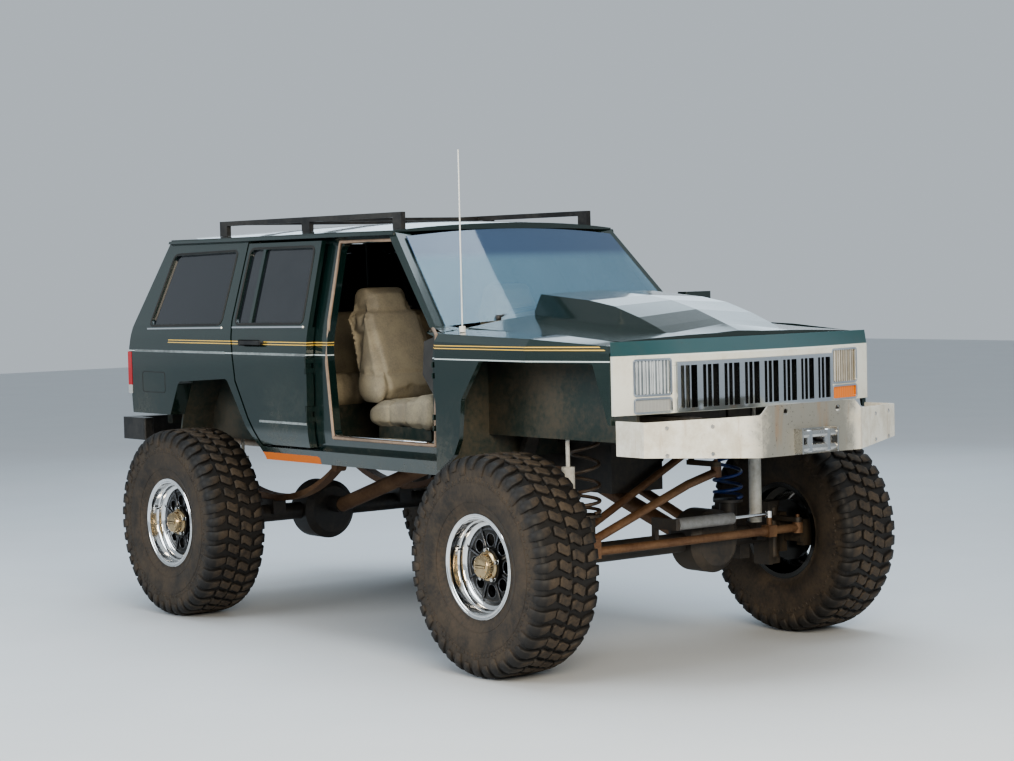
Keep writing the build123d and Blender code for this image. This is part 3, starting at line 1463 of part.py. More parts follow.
def steer_link(low, thickness, x, y, width):
    # A flat arm with round ends from the pivot forward to the tie rod's line, drilled for its stud
    with BuildSketch(Plane.XY.offset(low)) as arm:
        with Locations((x + steer_arm / 2, y)):
            SlotCenterToCenter(steer_arm, width)
        with Locations((x + steer_arm, y)):
            Circle(stud_radius + fit, mode=Mode.SUBTRACT)
    extrude(arm.sketch, amount=thickness)


with BuildPart() as pitman_arm:
    steer_link(pitman_z, pitman_thickness, front_axle_x, pitman_y, 44)
save(pitman_arm, "pitman_arm")

# Front knuckles with spindle, steering arm and brake calliper
arm_low_z = tie_z + steer_arm_width / 2 + 6
rotor_near = wheel_y + rotor_inner
with BuildPart() as knuckle_left:
    half = knuckle_height / 2
    rod((front_axle_x, kingpin_y, axle_z - half), (front_axle_x, kingpin_y, axle_z + half), kingpin_radius)
    block((front_axle_x - 45, front_axle_x + 45), (kingpin_y, kingpin_y + 45), (axle_z - 90, axle_z + 90))
    rod((front_axle_x, kingpin_y + 44, axle_z), (front_axle_x, wheel_y + 20, axle_z), spindle_radius)
    steer_link(arm_low_z, steer_arm_thickness, front_axle_x, kingpin_y, steer_arm_width)
    calliper_x = (front_axle_x + 100, front_axle_x + 146)
    block((front_axle_x + 30, calliper_x[1]), (kingpin_y + 30, kingpin_y + 57), (axle_z - 40, axle_z + 40))
    block(calliper_x, (kingpin_y + 55, wheel_y - 30), (axle_z - 60, axle_z + 60))
    slot = (front_axle_x, rotor_near - 3, axle_z)
    rod(slot, (front_axle_x, rotor_near + rotor_thickness + 3, axle_z), rotor_radius + 4, mode=Mode.SUBTRACT)
    rod((front_axle_x, wheel_y - 100, axle_z), (front_axle_x, wheel_y + 20, axle_z), spindle_radius)
with BuildPart() as knuckle_right:
    mirror(knuckle_left.part, about=Plane.XZ)
save(knuckle_left, "knuckle_left")
save(knuckle_right, "knuckle_right")

# Tie rod across the front, and the drag link that is clamped on it
with BuildPart() as tie_rod:
    rod((arm_tip_x, -kingpin_y, tie_z), (arm_tip_x, kingpin_y, tie_z), tie_rod_radius)
    for side in sides.values():
        y = side * kingpin_y
        rod((arm_tip_x, y, tie_z - rod_end_radius), (arm_tip_x, y, arm_low_z - fit), rod_end_radius)
        rod((arm_tip_x, y, tie_z), (arm_tip_x, y, arm_low_z + steer_arm_thickness + 14), stud_radius)
    damper_z = axle_z + damper_rise
    rod((arm_tip_x, damper_clamp_y, tie_z), (arm_tip_x, damper_clamp_y, damper_z - 15 - fit), 12)
    clamp_y = (damper_clamp_y - 24, damper_clamp_y + 24)
    block((arm_tip_x - 26, arm_tip_x + 26), clamp_y, (tie_z - 26, tie_z + 26))
save(tie_rod, "tie_rod")
with BuildPart() as drag_link:
    foot_y = -kingpin_y + drag_foot_inset
    foot = (arm_tip_x, foot_y, tie_z + 45)
    bend = (arm_tip_x, 30, tie_z + 247)
    tip = (arm_tip_x, pitman_y, pitman_z - 25)
    rod(foot, bend, drag_link_radius)
    rod(bend, tip, drag_link_radius)
    with Locations(bend):
        Sphere(drag_link_radius)
    block((arm_tip_x - 28, arm_tip_x + 28), (foot_y - 34, foot_y + 34), (tie_z - 28, tie_z + 56))
    rod((arm_tip_x, pitman_y, pitman_z - 48), (arm_tip_x, pitman_y, pitman_z - fit), rod_end_radius)
    stud_end = (arm_tip_x, pitman_y, pitman_z + pitman_thickness + 12)
    rod((arm_tip_x, pitman_y, pitman_z - 20), stud_end, stud_radius)
    add(tie_rod.part, mode=Mode.SUBTRACT)
save(drag_link, "drag_link")

# Steering damper: its body on the axle's bracket and its rod to the tie rod
damper_end_y = damper_start_y + damper_length
with BuildPart() as damper_body:
    rod((arm_tip_x, damper_start_y, damper_z), (arm_tip_x, damper_end_y, damper_z), damper_radius)
    bore = (arm_tip_x, damper_end_y - damper_rod_reach, damper_z)
    rod(bore, (arm_tip_x, damper_end_y, damper_z), damper_rod_radius + fit, mode=Mode.SUBTRACT)
with BuildPart() as damper_rod:
    rod((arm_tip_x, damper_end_y - 140, damper_z), (arm_tip_x, damper_clamp_y, damper_z), damper_rod_radius)
    rod((arm_tip_x, damper_clamp_y, damper_z - 15), (arm_tip_x, damper_clamp_y, damper_z + 15), 16)
save(damper_body, "damper_body")
save(damper_rod, "damper_rod")

# Wheels. Sections are drawn as (distance out from the wheel's middle, radius)
half_tread = tread_width / 2
half_tyre = tyre_width / 2
half_rim = rim_width / 2
bead = half_rim - fit
bead_radius = rim_seat_radius + fit
seat_inner = rim_seat_radius - rim_wall
drop_inner = rim_drop_radius - rim_wall
brakes = {
    # row: (axle x, brake radius, its inner and outer faces, spindle radius, end of the spindle's bore)
    "front": (front_axle_x, rotor_radius, rotor_inner, rotor_inner + rotor_thickness, spindle_radius, 30),
    "rear": (rear_axle_x, drum_radius, drum_inner, disc_back, stub_radius, 0),
}


def wheel_plane(x, side):
    return Plane(origin=(x, side * wheel_y, axle_z), x_dir=(0, side, 0), z_dir=(side, 0, 0))


# Tyre carcass as many-sided rings: (distance out from the tyre's middle, distance to the flats)
carcass_rings = (
    (bead, rim_flange_radius + 5),
    (half_tyre - 12, rim_flange_radius + 60),
    (half_tyre, tyre_radius - 128),
    (half_tread, tread_radius),
)
cavity_half = bead - tyre_wall_inset
tread_depth = tyre_radius - tread_radius
# Section of a shoulder lug: (distance out from the tyre's middle, distance from the axle)
lug_section = (
    (lug_start, tread_radius - tread_depth / 2),
    (lug_start, tyre_radius),
    (half_tread - lug_inset, tyre_radius - lug_inset),
    (half_tyre, lug_foot),
    (half_tread - lug_inset, lug_foot),
)
with BuildPart() as lug_right:
    # Drawn at the top of the tyre, on its right half
    prism(Plane.YZ.offset(-lug_width / 2), [(-out, flat) for out, flat in lug_section], lug_width)
with BuildPart() as lug_left:
    mirror(lug_right.part, about=Plane.XZ)
with BuildPart() as tyre:
    for out, flat in carcass_rings + tuple((-out, flat) for out, flat in carcass_rings[::-1]):
        with BuildSketch(Plane.XZ.offset(-out)):
            RegularPolygon(flat, tyre_facets, major_radius=False, rotation=180 / tyre_facets)
    loft(ruled=True)
    for flat, facets, half in (
        (bead_radius, tyre_facets, half_tyre),
        (tread_radius - 1.5 * tread_depth, tyre_facets // 2, cavity_half),
    ):
        with BuildSketch(Plane.XZ.offset(-half)) as hollow:
            RegularPolygon(flat, facets, major_radius=False, rotation=180 / facets)
        extrude(hollow.sketch, amount=2 * half, mode=Mode.SUBTRACT)
    # The lugs stand on every second facet, those of one side between those of the other
    turns = [Rot(0, index * 360 / tyre_facets, 0) for index in range(tyre_facets)]
    add([lug_left.part.moved(turn) for turn in turns[::2]])
    add([lug_right.part.moved(turn) for turn in turns[1::2]])


def build_rim(plane, row, name):
    x, brake_radius, brake_near, brake_far, bore_radius, bore_end = brakes[row]
    outward = plane.x_dir

    def wheel_rod(near, far, radius, mode=Mode.ADD):
        rod(tuple(plane.origin + outward * near), tuple(plane.origin + outward * far), radius, mode)

    barrel = (
        (rim_drop_half - 2, drop_inner),
        (rim_drop_half + 16, seat_inner),
        (half_rim + rim_flange, seat_inner),
        (half_rim + rim_flange, rim_flange_radius),
        (half_rim, rim_flange_radius),
        (half_rim, rim_seat_radius),
        (rim_drop_half + 18, rim_seat_radius),
        (rim_drop_half, rim_drop_radius),
    )
    with BuildPart() as rim:
        with BuildSketch(plane) as section:
            Polygon(*mirrored(barrel), align=None)
        revolve(section.sketch, axis=Axis(plane.origin, outward))
        with BuildSketch(Plane(origin=tuple(plane.origin + outward * disc_back), z_dir=outward)) as disc:
            Circle(drop_inner + 1)
            with PolarLocations(disc_hole_circle, disc_holes):
                Circle(disc_hole_radius, mode=Mode.SUBTRACT)
        extrude(disc.sketch, amount=disc_thickness)
        wheel_rod(disc_back, disc_back + 28, hub_flange_radius)
        wheel_rod(disc_back, disc_back + hub_reach, hub_radius)
        wheel_rod(brake_near, disc_back + 1, 60)
        wheel_rod(brake_near, brake_far, brake_radius)
        wheel_rod(brake_near, bore_end, bore_radius + fit, Mode.SUBTRACT)
    save(rim, name)


for row, (x, *_) in brakes.items():
    for side_name, side in sides.items():
        with BuildPart() as placed_tyre:
            hand = tyre.part if side > 0 else mirror(tyre.part, about=Plane.XZ, mode=Mode.PRIVATE)
            add(hand.moved(Location((x, side * wheel_y, axle_z))))
        save(placed_tyre, f"tyre_{row}_{side_name}")
        build_rim(wheel_plane(x, side), row, f"rim_{row}_{side_name}")
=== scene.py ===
import math
import bmesh
import bpy
import numpy as np
from mathutils import Matrix, Vector
from mathutils.bvhtree import BVHTree


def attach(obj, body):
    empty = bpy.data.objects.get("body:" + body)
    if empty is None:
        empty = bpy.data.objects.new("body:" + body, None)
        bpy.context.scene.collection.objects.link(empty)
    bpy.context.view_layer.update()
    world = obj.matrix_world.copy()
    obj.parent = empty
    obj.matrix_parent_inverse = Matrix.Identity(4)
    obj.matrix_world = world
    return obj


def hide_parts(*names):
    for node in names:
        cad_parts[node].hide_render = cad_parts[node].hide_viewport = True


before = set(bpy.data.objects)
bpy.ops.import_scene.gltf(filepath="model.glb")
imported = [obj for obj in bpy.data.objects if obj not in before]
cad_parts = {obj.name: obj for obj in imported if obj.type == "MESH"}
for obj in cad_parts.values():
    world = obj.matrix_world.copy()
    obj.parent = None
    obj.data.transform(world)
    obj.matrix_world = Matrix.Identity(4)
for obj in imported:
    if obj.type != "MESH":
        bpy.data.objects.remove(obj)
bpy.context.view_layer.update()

scene = bpy.context.scene
wheelbaseMid = -0.0955        # row x of the middle of the wheelbase
print("frame loaded", len(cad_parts), "nodes")


# Camera and studio

camera = {
    "place": (9.0645 + wheelbaseMid, -6.8671, 1.7212),
    "yaw": 52.20,             # 0 looks along +Y, 90 along -X
    "pitch": 2.787,           # degrees below the horizon
    "roll": -1.3405,
    "lens": 83.15,
    "sensor": 36.0,
}


def setCamera(c):
    data = bpy.data.cameras.new("viewpoint")
    data.lens = c["lens"]
    data.sensor_width = c["sensor"]
    data.clip_end = 60
    obj = bpy.data.objects.new("viewpoint", data)
    scene.collection.objects.link(obj)
    yaw, pitch, roll = (math.radians(c[k]) for k in ("yaw", "pitch", "roll"))
    ahead = Vector((-math.sin(yaw) * math.cos(pitch), math.cos(yaw) * math.cos(pitch), -math.sin(pitch)))
    right = Vector((math.cos(yaw), math.sin(yaw), 0))
    up = right.cross(ahead)
    tiltedRight = right * math.cos(roll) + up * math.sin(roll)
    tiltedUp = up * math.cos(roll) - right * math.sin(roll)
    turn = Matrix((tiltedRight, tiltedUp, -ahead)).transposed()
    obj.matrix_world = Matrix.Translation(c["place"]) @ turn.to_4x4()
    scene.camera = obj


studio = {
    # name: (place, what it faces, width, height, power, colour)
    "key": ((7.5, -3.8, 3.4), (0.6, -0.4, 0.8), 4.5, 3.0, 520, (1.0, 0.88, 0.70)),
    "side": ((-1.0, -8.0, 4.0), (-0.3, 0, 1.0), 6.0, 3.0, 330, (0.90, 0.96, 1.0)),
    "top": ((0.0, 0.5, 7.0), (0, 0, 1.0), 7.0, 5.0, 330, (0.80, 0.91, 1.0)),
    "rim": ((-6.0, 6.5, 5.0), (0, 0, 1.2), 9.0, 5.0, 130, (0.72, 0.88, 1.0)),
}


def setLights():
    for name, (place, target, width, height, power, colour) in studio.items():
        data = bpy.data.lights.new(name, "AREA")
        data.shape = "RECTANGLE"
        data.size, data.size_y = width, height
        data.energy = power
        data.color = colour
        obj = bpy.data.objects.new(name, data)
        obj.location = place
        obj.rotation_euler = (Vector(target) - Vector(place)).to_track_quat("-Z", "Y").to_euler()
        scene.collection.objects.link(obj)
    world = bpy.data.worlds.new("studio")
    world.use_nodes = True
    world.node_tree.nodes["Background"].inputs["Color"].default_value = (0.80, 0.88, 0.95, 1)
    world.node_tree.nodes["Background"].inputs["Strength"].default_value = 0.55
    scene.world = world
    scene.view_settings.view_transform = "AgX"
    scene.view_settings.look = "AgX - Medium High Contrast"


setCamera(camera)
setLights()
print("camera and lights")


# Shader maths

class Wire:
    # a value socket that can be used in a Python expression
    def __init__(self, finish, socket):
        self.finish = finish
        self.socket = socket

    def combine(self, operation, *others):
        inputs = {i: o for i, o in enumerate(others)}
        return self.finish.value("ShaderNodeMath", {"operation": operation}, inputs)

    def __add__(self, other): return self.combine("ADD", self, other)
    def __radd__(self, other): return self.combine("ADD", other, self)
    def __sub__(self, other): return self.combine("SUBTRACT", self, other)
    def __rsub__(self, other): return self.combine("SUBTRACT", other, self)
    def __mul__(self, other): return self.combine("MULTIPLY", self, other)
    def __rmul__(self, other): return self.combine("MULTIPLY", other, self)
    def __truediv__(self, other): return self.combine("DIVIDE", self, other)
    def __pow__(self, other): return self.combine("POWER", self, other)
    def __abs__(self): return self.combine("ABSOLUTE", self)
    def __gt__(self, other): return self.combine("GREATER_THAN", self, other)
    def __lt__(self, other): return self.combine("LESS_THAN", self, other)

    def sine(self): return self.combine("SINE", self)
    def least(self, other): return self.combine("MINIMUM", self, other)
    def most(self, other): return self.combine("MAXIMUM", self, other)

    def rise(self, low, high):
        # 0 below low, 1 above high, smooth between them
        settings = {"interpolation_type": "SMOOTHSTEP"}
        return self.finish.value("ShaderNodeMapRange", settings, {"Value": self, "From Min": low, "From Max": high})

    def band(self, middle, half, soft=0.0008):
        return 1 - abs(self - middle).rise(half - soft, half + soft)


class Finish:
    # one material on a Principled shader
    def __init__(self, name, **constants):
        self.material = bpy.data.materials.new(name)
        self.material.use_nodes = True
        self.tree = self.material.node_tree
        self.tree.nodes.clear()
        self.shader = self.node("ShaderNodeBsdfPrincipled", {}, {})
        self.node("ShaderNodeOutputMaterial", {}, {"Surface": self.shader.outputs["BSDF"]})
        for key, value in constants.items():
            self.feed(key.replace("_", " "), value)
        self.cached = {}

    def node(self, kind, settings, inputs):
        made = self.tree.nodes.new(kind)
        for key, value in settings.items():
            setattr(made, key, value)
        for key, value in inputs.items():
            self.plug(made.inputs[key], value)
        return made

    def plug(self, socket, value):
        if isinstance(value, Wire):
            value = value.socket
        if isinstance(value, bpy.types.NodeSocket):
            self.tree.links.new(value, socket)
        elif isinstance(value, (tuple, list)) and len(value) == 3 and socket.type == "RGBA":
            socket.default_value = (*value, 1)
        else:
            socket.default_value = value

    def value(self, kind, settings, inputs, output=0):
        return Wire(self, self.node(kind, settings, inputs).outputs[output])

    def feed(self, name, value):
        self.plug(self.shader.inputs[name], value)

    def place(self):
        # object coordinates, which are the row frame at rest
        if "place" not in self.cached:
            coords = self.node("ShaderNodeTexCoord", {}, {})
            parts = self.node("ShaderNodeSeparateXYZ", {}, {0: coords.outputs["Object"]})
            self.cached["coords"] = coords.outputs["Object"]
            self.cached["place"] = [Wire(self, parts.outputs[i]) for i in range(3)]
        return self.cached["place"]

    def noise(self, scale, detail=3, rough=0.55, stretch=(1, 1, 1), distortion=0.0):
        self.place()
        where = self.cached["coords"]
        if stretch != (1, 1, 1):
            where = self.node("ShaderNodeMapping", {}, {"Vector": where, "Scale": stretch}).outputs[0]
        inputs = {"Vector": where, "Scale": scale, "Detail": detail, "Roughness": rough, "Distortion": distortion}
        return self.value("ShaderNodeTexNoise", {"noise_dimensions": "3D"}, inputs)

    def blend(self, factor, first, second):
        made = self.node("ShaderNodeMix", {"data_type": "RGBA"}, {"Factor": factor})
        self.plug(made.inputs[6], first)
        self.plug(made.inputs[7], second)
        return made.outputs[2]

    def relief(self, height, strength=0.4, distance=0.002):
        made = self.node("ShaderNodeBump", {}, {"Height": height, "Strength": strength, "Distance": distance})
        self.feed("Normal", made.outputs[0])


finishes = {}


def register(name, finish):
    finishes[name] = finish.material
    return finish


# Paint

paint = {
    "green": (0.0045, 0.0165, 0.0145),
    "greenLow": (0.008, 0.019, 0.016),
    "dust": (0.16, 0.135, 0.10),
    "gold": (0.78, 0.50, 0.10),
    "brightLine": (0.55, 0.60, 0.60),
    "stripeHeights": (1.3845, 1.3725),
    "stripeHalf": 0.0022,
    "beltHeight": 1.326,
    "rust": (0.50, 0.13, 0.02),
    "outerSkin": 0.74,            # stripes lie further out than this
    "stripeEnd": -1.62,
    "rustSpan": (-0.43, 0.27),    # middle and half length along the sill
    "rustTop": (0.835, 0.862),
}


def bodyPaint(name, striped, rusty=False):
    f = Finish(name, IOR=1.5, Coat_Roughness=0.06)
    x, y, z = f.place()
    mottle = f.noise(2.3, 4)
    fine = f.noise(38, 4, 0.7)
    low = 1 - z.rise(0.82, 1.32)
    grime = ((mottle * 0.55 + fine * 0.45).rise(0.42, 0.74) * (0.025 + low * 0.30)).least(1)
    colour = f.blend(mottle.rise(0.3, 0.7), paint["green"], paint["greenLow"])
    colour = f.blend(grime, colour, paint["dust"])
    rough = 0.16 + grime * 0.6 + fine * 0.06
    coat = 1 - grime
    if striped:
        outer = abs(y) > paint["outerSkin"]
        stripes = z.band(paint["stripeHeights"][0], paint["stripeHalf"])
        stripes = stripes.most(z.band(paint["stripeHeights"][1], paint["stripeHalf"]))
        span = (x > paint["stripeEnd"]) * outer
        colour = f.blend(stripes * span * 0.95, colour, paint["gold"])
        trim = z.band(paint["beltHeight"], 0.0028) * outer
        colour = f.blend(trim, colour, paint["brightLine"])
        rough = rough * (1 - stripes * span * 0.4)
    if rusty:
        along = (x - wheelbaseMid).band(*paint["rustSpan"], 0.03)
        patch = along * (1 - z.rise(*paint["rustTop"])) * (y < -0.5)
        edge = f.noise(22, 5, 0.7)
        patch = (patch * 1.3 - (1 - edge) * 0.5).rise(0.2, 0.5)
        colour = f.blend(patch, colour, paint["rust"])
        rough = rough + patch * 0.6
        coat = coat * (1 - patch)
    f.feed("Base Color", colour)
    f.feed("Roughness", rough)
    f.feed("Coat Weight", coat)
    f.relief(fine * 0.5 + mottle, 0.05, 0.001)
    return register(name, f)


bodyPaint("greenStriped", True, True)
bodyPaint("greenPlain", False)


def simpleFinish(name, colour, second, metallic=0.0, rough=0.5, spread=0.15, scale=14, bump=0.1):
    # a base of two mixed tones with matching roughness and relief
    f = Finish(name, Metallic=metallic)
    big = f.noise(scale * 0.22, 3)
    small = f.noise(scale * 3.1, 4, 0.65)
    mask = (big * 0.6 + small * 0.4).rise(0.36, 0.66)
    f.feed("Base Color", f.blend(mask, colour, second))
    f.feed("Roughness", rough + (mask - 0.5) * spread)
    f.relief(small, bump, 0.0015)
    return register(name, f)


simpleFinish("innerPaint", (0.020, 0.034, 0.030), (0.085, 0.072, 0.052), rough=0.55, spread=0.3)
simpleFinish("frameBlack", (0.018, 0.018, 0.018), (0.075, 0.060, 0.045), rough=0.55, spread=0.3, bump=0.25)
simpleFinish("axleIron", (0.022, 0.021, 0.021), (0.065, 0.054, 0.043), rough=0.55, spread=0.25, bump=0.3)
simpleFinish("knuckleIron", (0.05, 0.045, 0.04), (0.10, 0.075, 0.05), metallic=0.4, rough=0.5, bump=0.3)
simpleFinish("rustyLink", (0.12, 0.062, 0.034), (0.21, 0.125, 0.070), metallic=0.35, rough=0.55, scale=20, bump=0.3)
simpleFinish("coilBlue", (0.012, 0.035, 0.16), (0.03, 0.05, 0.10), rough=0.35)
simpleFinish("shockWhite", (0.62, 0.62, 0.58), (0.36, 0.33, 0.28), rough=0.4)
simpleFinish("damperGrey", (0.24, 0.25, 0.26), (0.15, 0.15, 0.15), rough=0.38)
simpleFinish("chromeRod", (0.80, 0.80, 0.80), (0.66, 0.66, 0.65), metallic=1, rough=0.10, spread=0.06, bump=0.02)
simpleFinish("engineIron", (0.03, 0.03, 0.03), (0.07, 0.06, 0.05), metallic=0.3, rough=0.55, bump=0.4)
simpleFinish("exhaustSteel", (0.16, 0.13, 0.10), (0.27, 0.20, 0.14), metallic=0.7, rough=0.45, bump=0.2)
simpleFinish("blackPaint", (0.012, 0.012, 0.013), (0.045, 0.042, 0.038), rough=0.4, spread=0.2)
simpleFinish("antennaWhite", (0.78, 0.78, 0.75), (0.66, 0.66, 0.62), rough=0.5, bump=0.02)
simpleFinish("dashPlastic", (0.030, 0.028, 0.026), (0.052, 0.048, 0.043), rough=0.6, scale=60, bump=0.2)
simpleFinish("rubberTrim", (0.014, 0.014, 0.014), (0.030, 0.028, 0.026), rough=0.6, bump=0.1)
simpleFinish("radiatorFins", (0.012, 0.012, 0.013), (0.025, 0.025, 0.025), metallic=0.4, rough=0.5)
simpleFinish("boltBright", (0.62, 0.62, 0.60), (0.45, 0.44, 0.42), metallic=1, rough=0.25, bump=0.05)


def chromeFinish():
    f = Finish("chromeTrim", Metallic=1.0)
    spots = f.noise(60, 4, 0.7).rise(0.62, 0.78)
    f.feed("Base Color", f.blend(spots * 0.5, (0.80, 0.82, 0.84), (0.30, 0.28, 0.25)))
    f.feed("Roughness", 0.10 + spots * 0.35)
    return register("chromeTrim", f)


def bumperFinish():
    # cream paint worn to grey steel in the middle, with black specks and rusty runs
    f = Finish("bumperCream", IOR=1.45)
    x, y, z = f.place()
    worn = f.noise(9, 5, 0.75)
    speck = f.noise(75, 5, 0.8)
    runs = f.noise(11, 4, 0.7, stretch=(1, 1, 0.12))
    middle = 1 - abs(y + 0.03).rise(0.16, 0.42)
    bare = (middle * 0.85 + (worn - 0.5) * 0.9).rise(0.30, 0.75)
    colour = f.blend(worn.rise(0.35, 0.65), (0.56, 0.53, 0.45), (0.70, 0.69, 0.63))
    colour = f.blend(bare, colour, (0.25, 0.25, 0.23))
    colour = f.blend(runs.rise(0.56, 0.74) * 0.5, colour, (0.30, 0.17, 0.075))
    pits = speck.rise(0.60, 0.68) * (0.25 + bare * 0.75)
    colour = f.blend(pits, colour, (0.035, 0.028, 0.022))
    f.feed("Base Color", colour)
    f.feed("Metallic", bare * 0.35)
    f.feed("Roughness", 0.42 + pits * 0.3 + worn * 0.12)
    f.relief(worn * 0.6 - pits * 0.8, 0.35, 0.002)
    return register("bumperCream", f)


def headerFinish():
    # green brow over off-white sides, with chips; the off-white is the lamp surrounds' light tone and, on the
    # sides, painted sun glare over green paint, and the brow's teal is partly a painted sky reflection
    f = Finish("headerPaintAndGlare", IOR=1.5, Coat_Roughness=0.08)
    x, y, z = f.place()
    chips = f.noise(55, 5, 0.75).rise(0.63, 0.70)
    dirt = f.noise(6, 4, 0.7).rise(0.4, 0.8)
    brow = z.rise(1.345, 1.349)
    # off-white below the brow: the lamp surrounds' light tone and, at the sides, painted sun glare on green paint,
    # mixed with dirt
    offWhiteAndGlare = f.blend(dirt * 0.6, (0.66, 0.67, 0.62), (0.46, 0.40, 0.29))
    # the brow's teal green is partly a painted sky reflection on the darker body green
    green = f.blend(dirt * 0.4, (0.012, 0.060, 0.066), (0.03, 0.06, 0.06))
    colour = f.blend(brow, offWhiteAndGlare, green)
    f.feed("Base Color", f.blend(chips * 0.7, colour, (0.05, 0.04, 0.03)))
    f.feed("Roughness", 0.30 + chips * 0.3 + dirt * 0.1)
    f.feed("Coat Weight", brow * 0.9)
    f.relief(chips, 0.1, 0.001)
    return register("headerPaintAndGlare", f)


def glassFinish(name, colour, alpha, rough=0.03):
    f = Finish(name, IOR=1.5, Coat_Roughness=0.03)
    haze = f.noise(5, 4, 0.6)
    dust = f.noise(90, 3).rise(0.45, 0.8)
    f.feed("Base Color", f.blend(haze * 0.5, colour, tuple(c + 0.03 for c in colour)))
    f.feed("Roughness", rough + dust * 0.05)
    f.feed("Alpha", alpha + haze * 0.05)
    f.feed("Coat Weight", 0.8 + dust * 0.2)
    f.material.surface_render_method = "BLENDED"
    return register(name, f)


def windscreenFinish():
    f = Finish("windscreenGlass", IOR=1.5, Coat_Roughness=0.02)
    x, y, z = f.place()
    shade = z.rise(1.74, 1.80)
    quarter = 1 - x.rise(-0.80, -0.75)        # the quarter glass is tinted dark
    haze = f.noise(3, 3, 0.6)
    front = f.blend(shade, (0.15, 0.27, 0.37), (0.03, 0.065, 0.13))
    f.feed("Base Color", f.blend(quarter, front, (0.006, 0.008, 0.012)))
    f.feed("Roughness", 0.03 + haze * 0.03)
    f.feed("Alpha", (0.38 + haze * 0.10 + shade * 0.40 + quarter).least(0.94))
    f.feed("Coat Weight", 0.9 + haze * 0.1)
    f.material.surface_render_method = "BLENDED"
    return register("windscreenGlass", f)


chromeFinish()
bumperFinish()
headerFinish()
glassFinish("tintedGlass", (0.006, 0.008, 0.012), 0.93)


lampEdges = {"front": (1.174, 1.178), "tail": (1.143, 1.147), "flutes": 380}


def lampFinish():
    # clear head lamps, the left one tinted amber as a painted sunset reflection, grey and orange park lamps, red
    # tail lamps over grey ones
    f = Finish("lampGlass", IOR=1.5, Coat_Roughness=0.03)
    x, y, z = f.place()
    flutes = (y * lampEdges["flutes"]).sine() * 0.5 + 0.5
    head = z.rise(*lampEdges["front"])
    depth = f.noise(14, 3, 0.6)
    clear = f.blend((flutes * 0.5 + depth * 0.5).rise(0.25, 0.75), (0.20, 0.23, 0.25), (0.78, 0.82, 0.85))
    # painted sunset reflection: a slight amber tint on the left head lamp
    clear = f.blend((y > 0) * 0.28, clear, (0.75, 0.50, 0.16))
    park = f.blend(y > 0, (0.34, 0.35, 0.35), (0.80, 0.22, 0.02))
    front = f.blend(1 - head, clear, park)
    tail = f.blend(z.rise(*lampEdges["tail"]), (0.42, 0.42, 0.40), (0.42, 0.008, 0.010))
    f.feed("Base Color", f.blend(x < 0, front, tail))
    f.feed("Metallic", (x > 0) * head * 0.55)
    f.feed("Roughness", 0.16 + flutes * 0.12)
    f.feed("Coat Weight", 0.9 + depth * 0.1)
    f.relief(flutes, 0.25, 0.0015)
    return register("lampGlass", f)


lampFinish()
windscreenFinish()


wheelPlace = {"axle": 1.288, "track": 0.880, "height": 0.470, "centre": (0.170, 0.174), "inner": (0.83, 0.86)}


def tyreFinish():
    # dark rubber, with dry dust on the sidewall and the lug tops
    f = Finish("tyreRubber", IOR=1.45)
    x, y, z = f.place()
    radius = (x * x + z * z) ** 0.5
    broad, fine = f.noise(9, 4, 0.65), f.noise(70, 4, 0.7)
    wall = 1 - radius.rise(0.400, 0.440)
    tops = radius.rise(0.4620, 0.4690)
    dust = ((wall * 0.50 + tops * 0.55) * (broad * 0.7 + fine * 0.6).rise(0.35, 0.90) + broad * 0.06).least(1)
    f.feed("Base Color", f.blend(dust, (0.011, 0.0105, 0.0105), (0.125, 0.090, 0.058)))
    f.feed("Roughness", 0.58 + dust * 0.3)
    f.relief(fine, 0.25, 0.0015)
    return register("tyreRubber", f)


tyreFinish()


def rimFinish():
    # bright outer steps round a dark centre
    f = Finish("wheelAlloy", Metallic=1.0)
    x, y, z = f.place()
    along = abs(x - wheelbaseMid) - wheelPlace["axle"]
    above = z - wheelPlace["height"]
    radius = (along * along + above * above) ** 0.5
    centre = 1 - radius.rise(*wheelPlace["centre"])
    inside = 1 - abs(y).rise(*wheelPlace["inner"])
    wear = f.noise(30, 4, 0.6)
    bright = f.blend(wear.rise(0.45, 0.75) * 0.5, (0.78, 0.78, 0.78), (0.45, 0.44, 0.42))
    f.feed("Base Color", f.blend(centre.most(inside), bright, (0.060, 0.058, 0.055)))
    f.feed("Roughness", 0.16 + centre * 0.16 + wear * 0.08)
    return register("wheelAlloy", f)


rimFinish()
simpleFinish("coilDark", (0.03, 0.025, 0.02), (0.09, 0.06, 0.04), rough=0.5)
simpleFinish("weatherTan", (0.34, 0.24, 0.17), (0.22, 0.16, 0.12), rough=0.7, bump=0.2)
simpleFinish("trimGrey", (0.30, 0.33, 0.33), (0.12, 0.13, 0.13), rough=0.35)
simpleFinish("polishedLip", (0.86, 0.86, 0.86), (0.70, 0.70, 0.69), metallic=1, rough=0.12, spread=0.08, bump=0.02)
# the locking hub's bronze tone is a painted reflection of golden light on its metal
simpleFinish("hubMetalGoldReflection", (0.52, 0.40, 0.24), (0.30, 0.22, 0.14), metallic=1, rough=0.24, bump=0.04)
simpleFinish("wheelDark", (0.16, 0.16, 0.17), (0.07, 0.07, 0.07), metallic=0.9, rough=0.3, bump=0.04)
simpleFinish("seatCloth", (0.36, 0.31, 0.22), (0.25, 0.22, 0.17), rough=0.85, scale=40, bump=0.3)
print("finishes", len(finishes))


# CAD nodes that keep their shape get their finish

